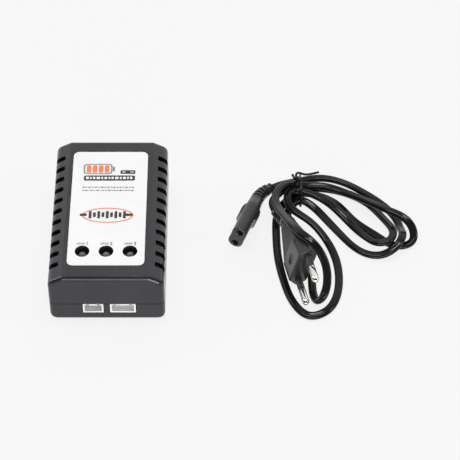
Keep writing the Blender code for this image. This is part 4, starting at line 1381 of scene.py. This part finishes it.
@dataclass
class Studio:
    """Camera, pale floor and soft light."""

    eye: Point = (0.0595, -0.6754, 0.7798)
    look: Point = (0.0, 0.6615, -0.7499)
    lens: float = 160.7
    room: float = 0.11
    far_glow: float = 1.0
    level_glow: float = 0.16
    table_glow: float = 0.842
    table_reach: float = 3.0
    middle: Point = (0.06, 0.0, 0.01)
    softboxes: tuple[Softbox, ...] = (
        Softbox("overhead", (0.05, 0.05, 1.2), (1.0, 0.2), 8.8),
        Softbox("left", (-1.0, 0.3, 0.6), (0.3, 0.9), 2.2),
        Softbox("right", (1.05, -0.15, 0.55), (0.26, 0.3), 2.2),
        Softbox("front", (0.05, -1.3, 0.22), (1.4, 0.34), 11.0),
    )

    def camera(self) -> None:
        """Place the camera."""
        data = bpy.data.cameras.new("camera")
        data.lens = self.lens
        data.sensor_width = 36.0
        data.clip_start = 0.05
        obj = shown("camera", data)
        obj.location = self.eye
        obj.rotation_euler = Vector(self.look).to_track_quat("-Z", "Y").to_euler()
        bpy.context.scene.camera = obj

    def surroundings(self) -> bpy.types.World:
        """A dim room that is brighter towards the far side and level with the table.

        Returns:
            The world.
        """
        world = bpy.data.worlds.new("studio")
        world.use_nodes = True
        sheet = Sheet(world.node_tree)
        split = sheet.add("ShaderNodeSeparateXYZ")
        sheet.link(sheet.add("ShaderNodeTexCoord").outputs["Generated"], split.inputs["Vector"])
        far = sheet.ramp(split.outputs["Y"], -0.1, 0.7)
        level = sheet.ramp(sheet.maths("ABSOLUTE", split.outputs["Z"]), 0.35, 0.0)
        near = sheet.maths("MULTIPLY_ADD", level, self.level_glow, self.room)
        glow = sheet.maths("MULTIPLY_ADD", far, self.far_glow, near)
        background = world.node_tree.nodes["Background"]
        fill(background, {"Color": WHITE})
        sheet.link(glow, background.inputs["Strength"])
        return world

    def floor(self) -> bpy.types.Object:
        """A pale backlit table that shows hardly any shadow.

        Returns:
            The table.
        """
        reach = self.table_reach
        mesh = bpy.data.meshes.new("floor")
        corners = [(-reach, -reach, 0.0), (reach, -reach, 0.0), (reach, reach, 0.0), (-reach, reach, 0.0)]
        mesh.from_pydata(corners, [], [(0, 1, 2, 3)])
        material = bpy.data.materials.new("floor_paper")
        material.use_nodes = True
        fill(
            material.node_tree.nodes["Principled BSDF"],
            {
                "Base Color": (0.08, 0.08, 0.08, 1.0),
                "Roughness": 1.0,
                "Specular IOR Level": 0.0,
                "Emission Color": WHITE,
                "Emission Strength": self.table_glow,
            },
        )
        mesh.materials.append(material)
        return shown("floor", mesh)

    def light(self) -> None:
        """Hang the lights and lay the floor."""
        bpy.context.scene.world = self.surroundings()
        bpy.context.scene.view_settings.view_transform = "Standard"
        for softbox in self.softboxes:
            softbox.hang(self.middle)
        self.floor()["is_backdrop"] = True


ROUTE: list[Point] = [
    (81.4, 35.1, 7.2), (86.6, 39.0, 5.6), (95.0, 42.9, 3.9), (105.5, 46.4, 2.6), (117.0, 44.0, 2.3),
    (128.0, 36.6, 2.3), (138.0, 27.2, 2.3), (143.8, 18.4, 2.3), (145.6, 10.6, 3.4), (145.8, 2.6, 7.0),
    (143.0, -3.4, 6.8), (135.6, -6.6, 3.6), (126.0, -3.8, 2.3), (116.5, 6.2, 2.3), (107.0, 20.0, 2.3),
    (101.0, 27.0, 3.0), (95.0, 29.4, 3.9), (90.4, 26.4, 2.6), (88.8, 20.0, 2.3), (91.6, 10.0, 2.3),
    (96.6, -2.0, 2.3), (99.4, -13.0, 2.3), (100.0, -23.0, 2.3), (100.6, -32.0, 2.7), (102.8, -38.2, 5.6),
    (105.2, -38.6, 10.4), (106.8, -33.2, 15.4), (105.4, -26.6, 21.4), (100.2, -20.6, 27.4),
    (93.4, -13.6, 28.2), (87.4, 0.6, 22.4), (83.6, 13.4, 16.4), (82.4, 23.0, 13.6), (85.4, 31.0, 12.0),
    (90.0, 35.2, 10.2), (95.0, 36.1, 8.0), (106.0, 36.6, 6.8), (118.0, 32.2, 6.8), (129.5, 24.6, 8.2),
    (139.0, 17.4, 9.8), (146.0, 13.4, 9.4), (151.0, 8.4, 6.8), (151.2, 3.0, 3.4), (145.6, 0.4, 2.3),
    (133.5, 6.8, 2.3), (122.0, 17.6, 2.3), (112.6, 30.0, 2.3), (104.0, 34.2, 2.8), (95.0, 34.0, 3.9),
    (88.2, 30.4, 2.4), (84.2, 23.4, 2.3), (82.8, 9.0, 2.3), (83.6, -8.0, 2.3), (86.6, -24.5, 2.3),
    (91.4, -37.8, 2.3), (98.6, -44.6, 2.3), (106.2, -42.0, 2.3), (111.6, -33.4, 2.4), (113.4, -22.0, 2.4),
    (112.0, -7.6, 2.6), (106.4, 5.0, 4.4), (98.2, 14.0, 6.8), (90.6, 20.6, 8.0), (88.6, 26.4, 8.8),
    (90.4, 31.0, 8.7), (95.2, 31.9, 8.0), (103.4, 29.6, 7.0), (112.0, 22.4, 6.6), (121.5, 11.4, 4.6),
    (129.0, 2.4, 5.0), (134.2, -1.6, 6.4), (138.8, -0.6, 7.0), (141.2, 4.0, 6.6), (140.6, 10.0, 5.2),
    (137.0, 18.0, 3.4), (130.5, 28.0, 2.5), (120.0, 35.8, 2.3), (108.5, 39.0, 2.5), (95.0, 38.3, 3.9),
    (89.6, 36.0, 6.0), (85.0, 31.2, 7.6), (81.2, 24.6, 8.0), (82.3, 18.4, 8.3),
]


def corners() -> list[list[float]]:
    """The shown object's lowest and highest corners, as plain lists."""
    return [[float(value) for value in corner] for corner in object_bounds()]


def main() -> None:
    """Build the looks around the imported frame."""
    logging.basicConfig(level=logging.INFO, format="%(name)s: %(message)s")
    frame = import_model()
    studio = Studio()
    studio.camera()
    connector = ApplianceConnector().build()
    plug = MainsPlug().build()
    tie = WireTie().build()
    nodes = frame["nodes"]
    on_lead = [nodes[name] for name in (*numbered("plug_sleeve", 2), *numbered("connector_contact", 2))]
    Cord(route=ROUTE).build([connector, *plug, tie, *on_lead])
    studio.light()
    for finish, names in CAD_FINISHES.items():
        for name in names:
            for holder in nodes[name].material_slots:
                holder.material = finish.material()
    lamps = Lamps()
    lamps.build()
    FacePrint().build(lamps.places())


if __name__ == "__main__":
    main()
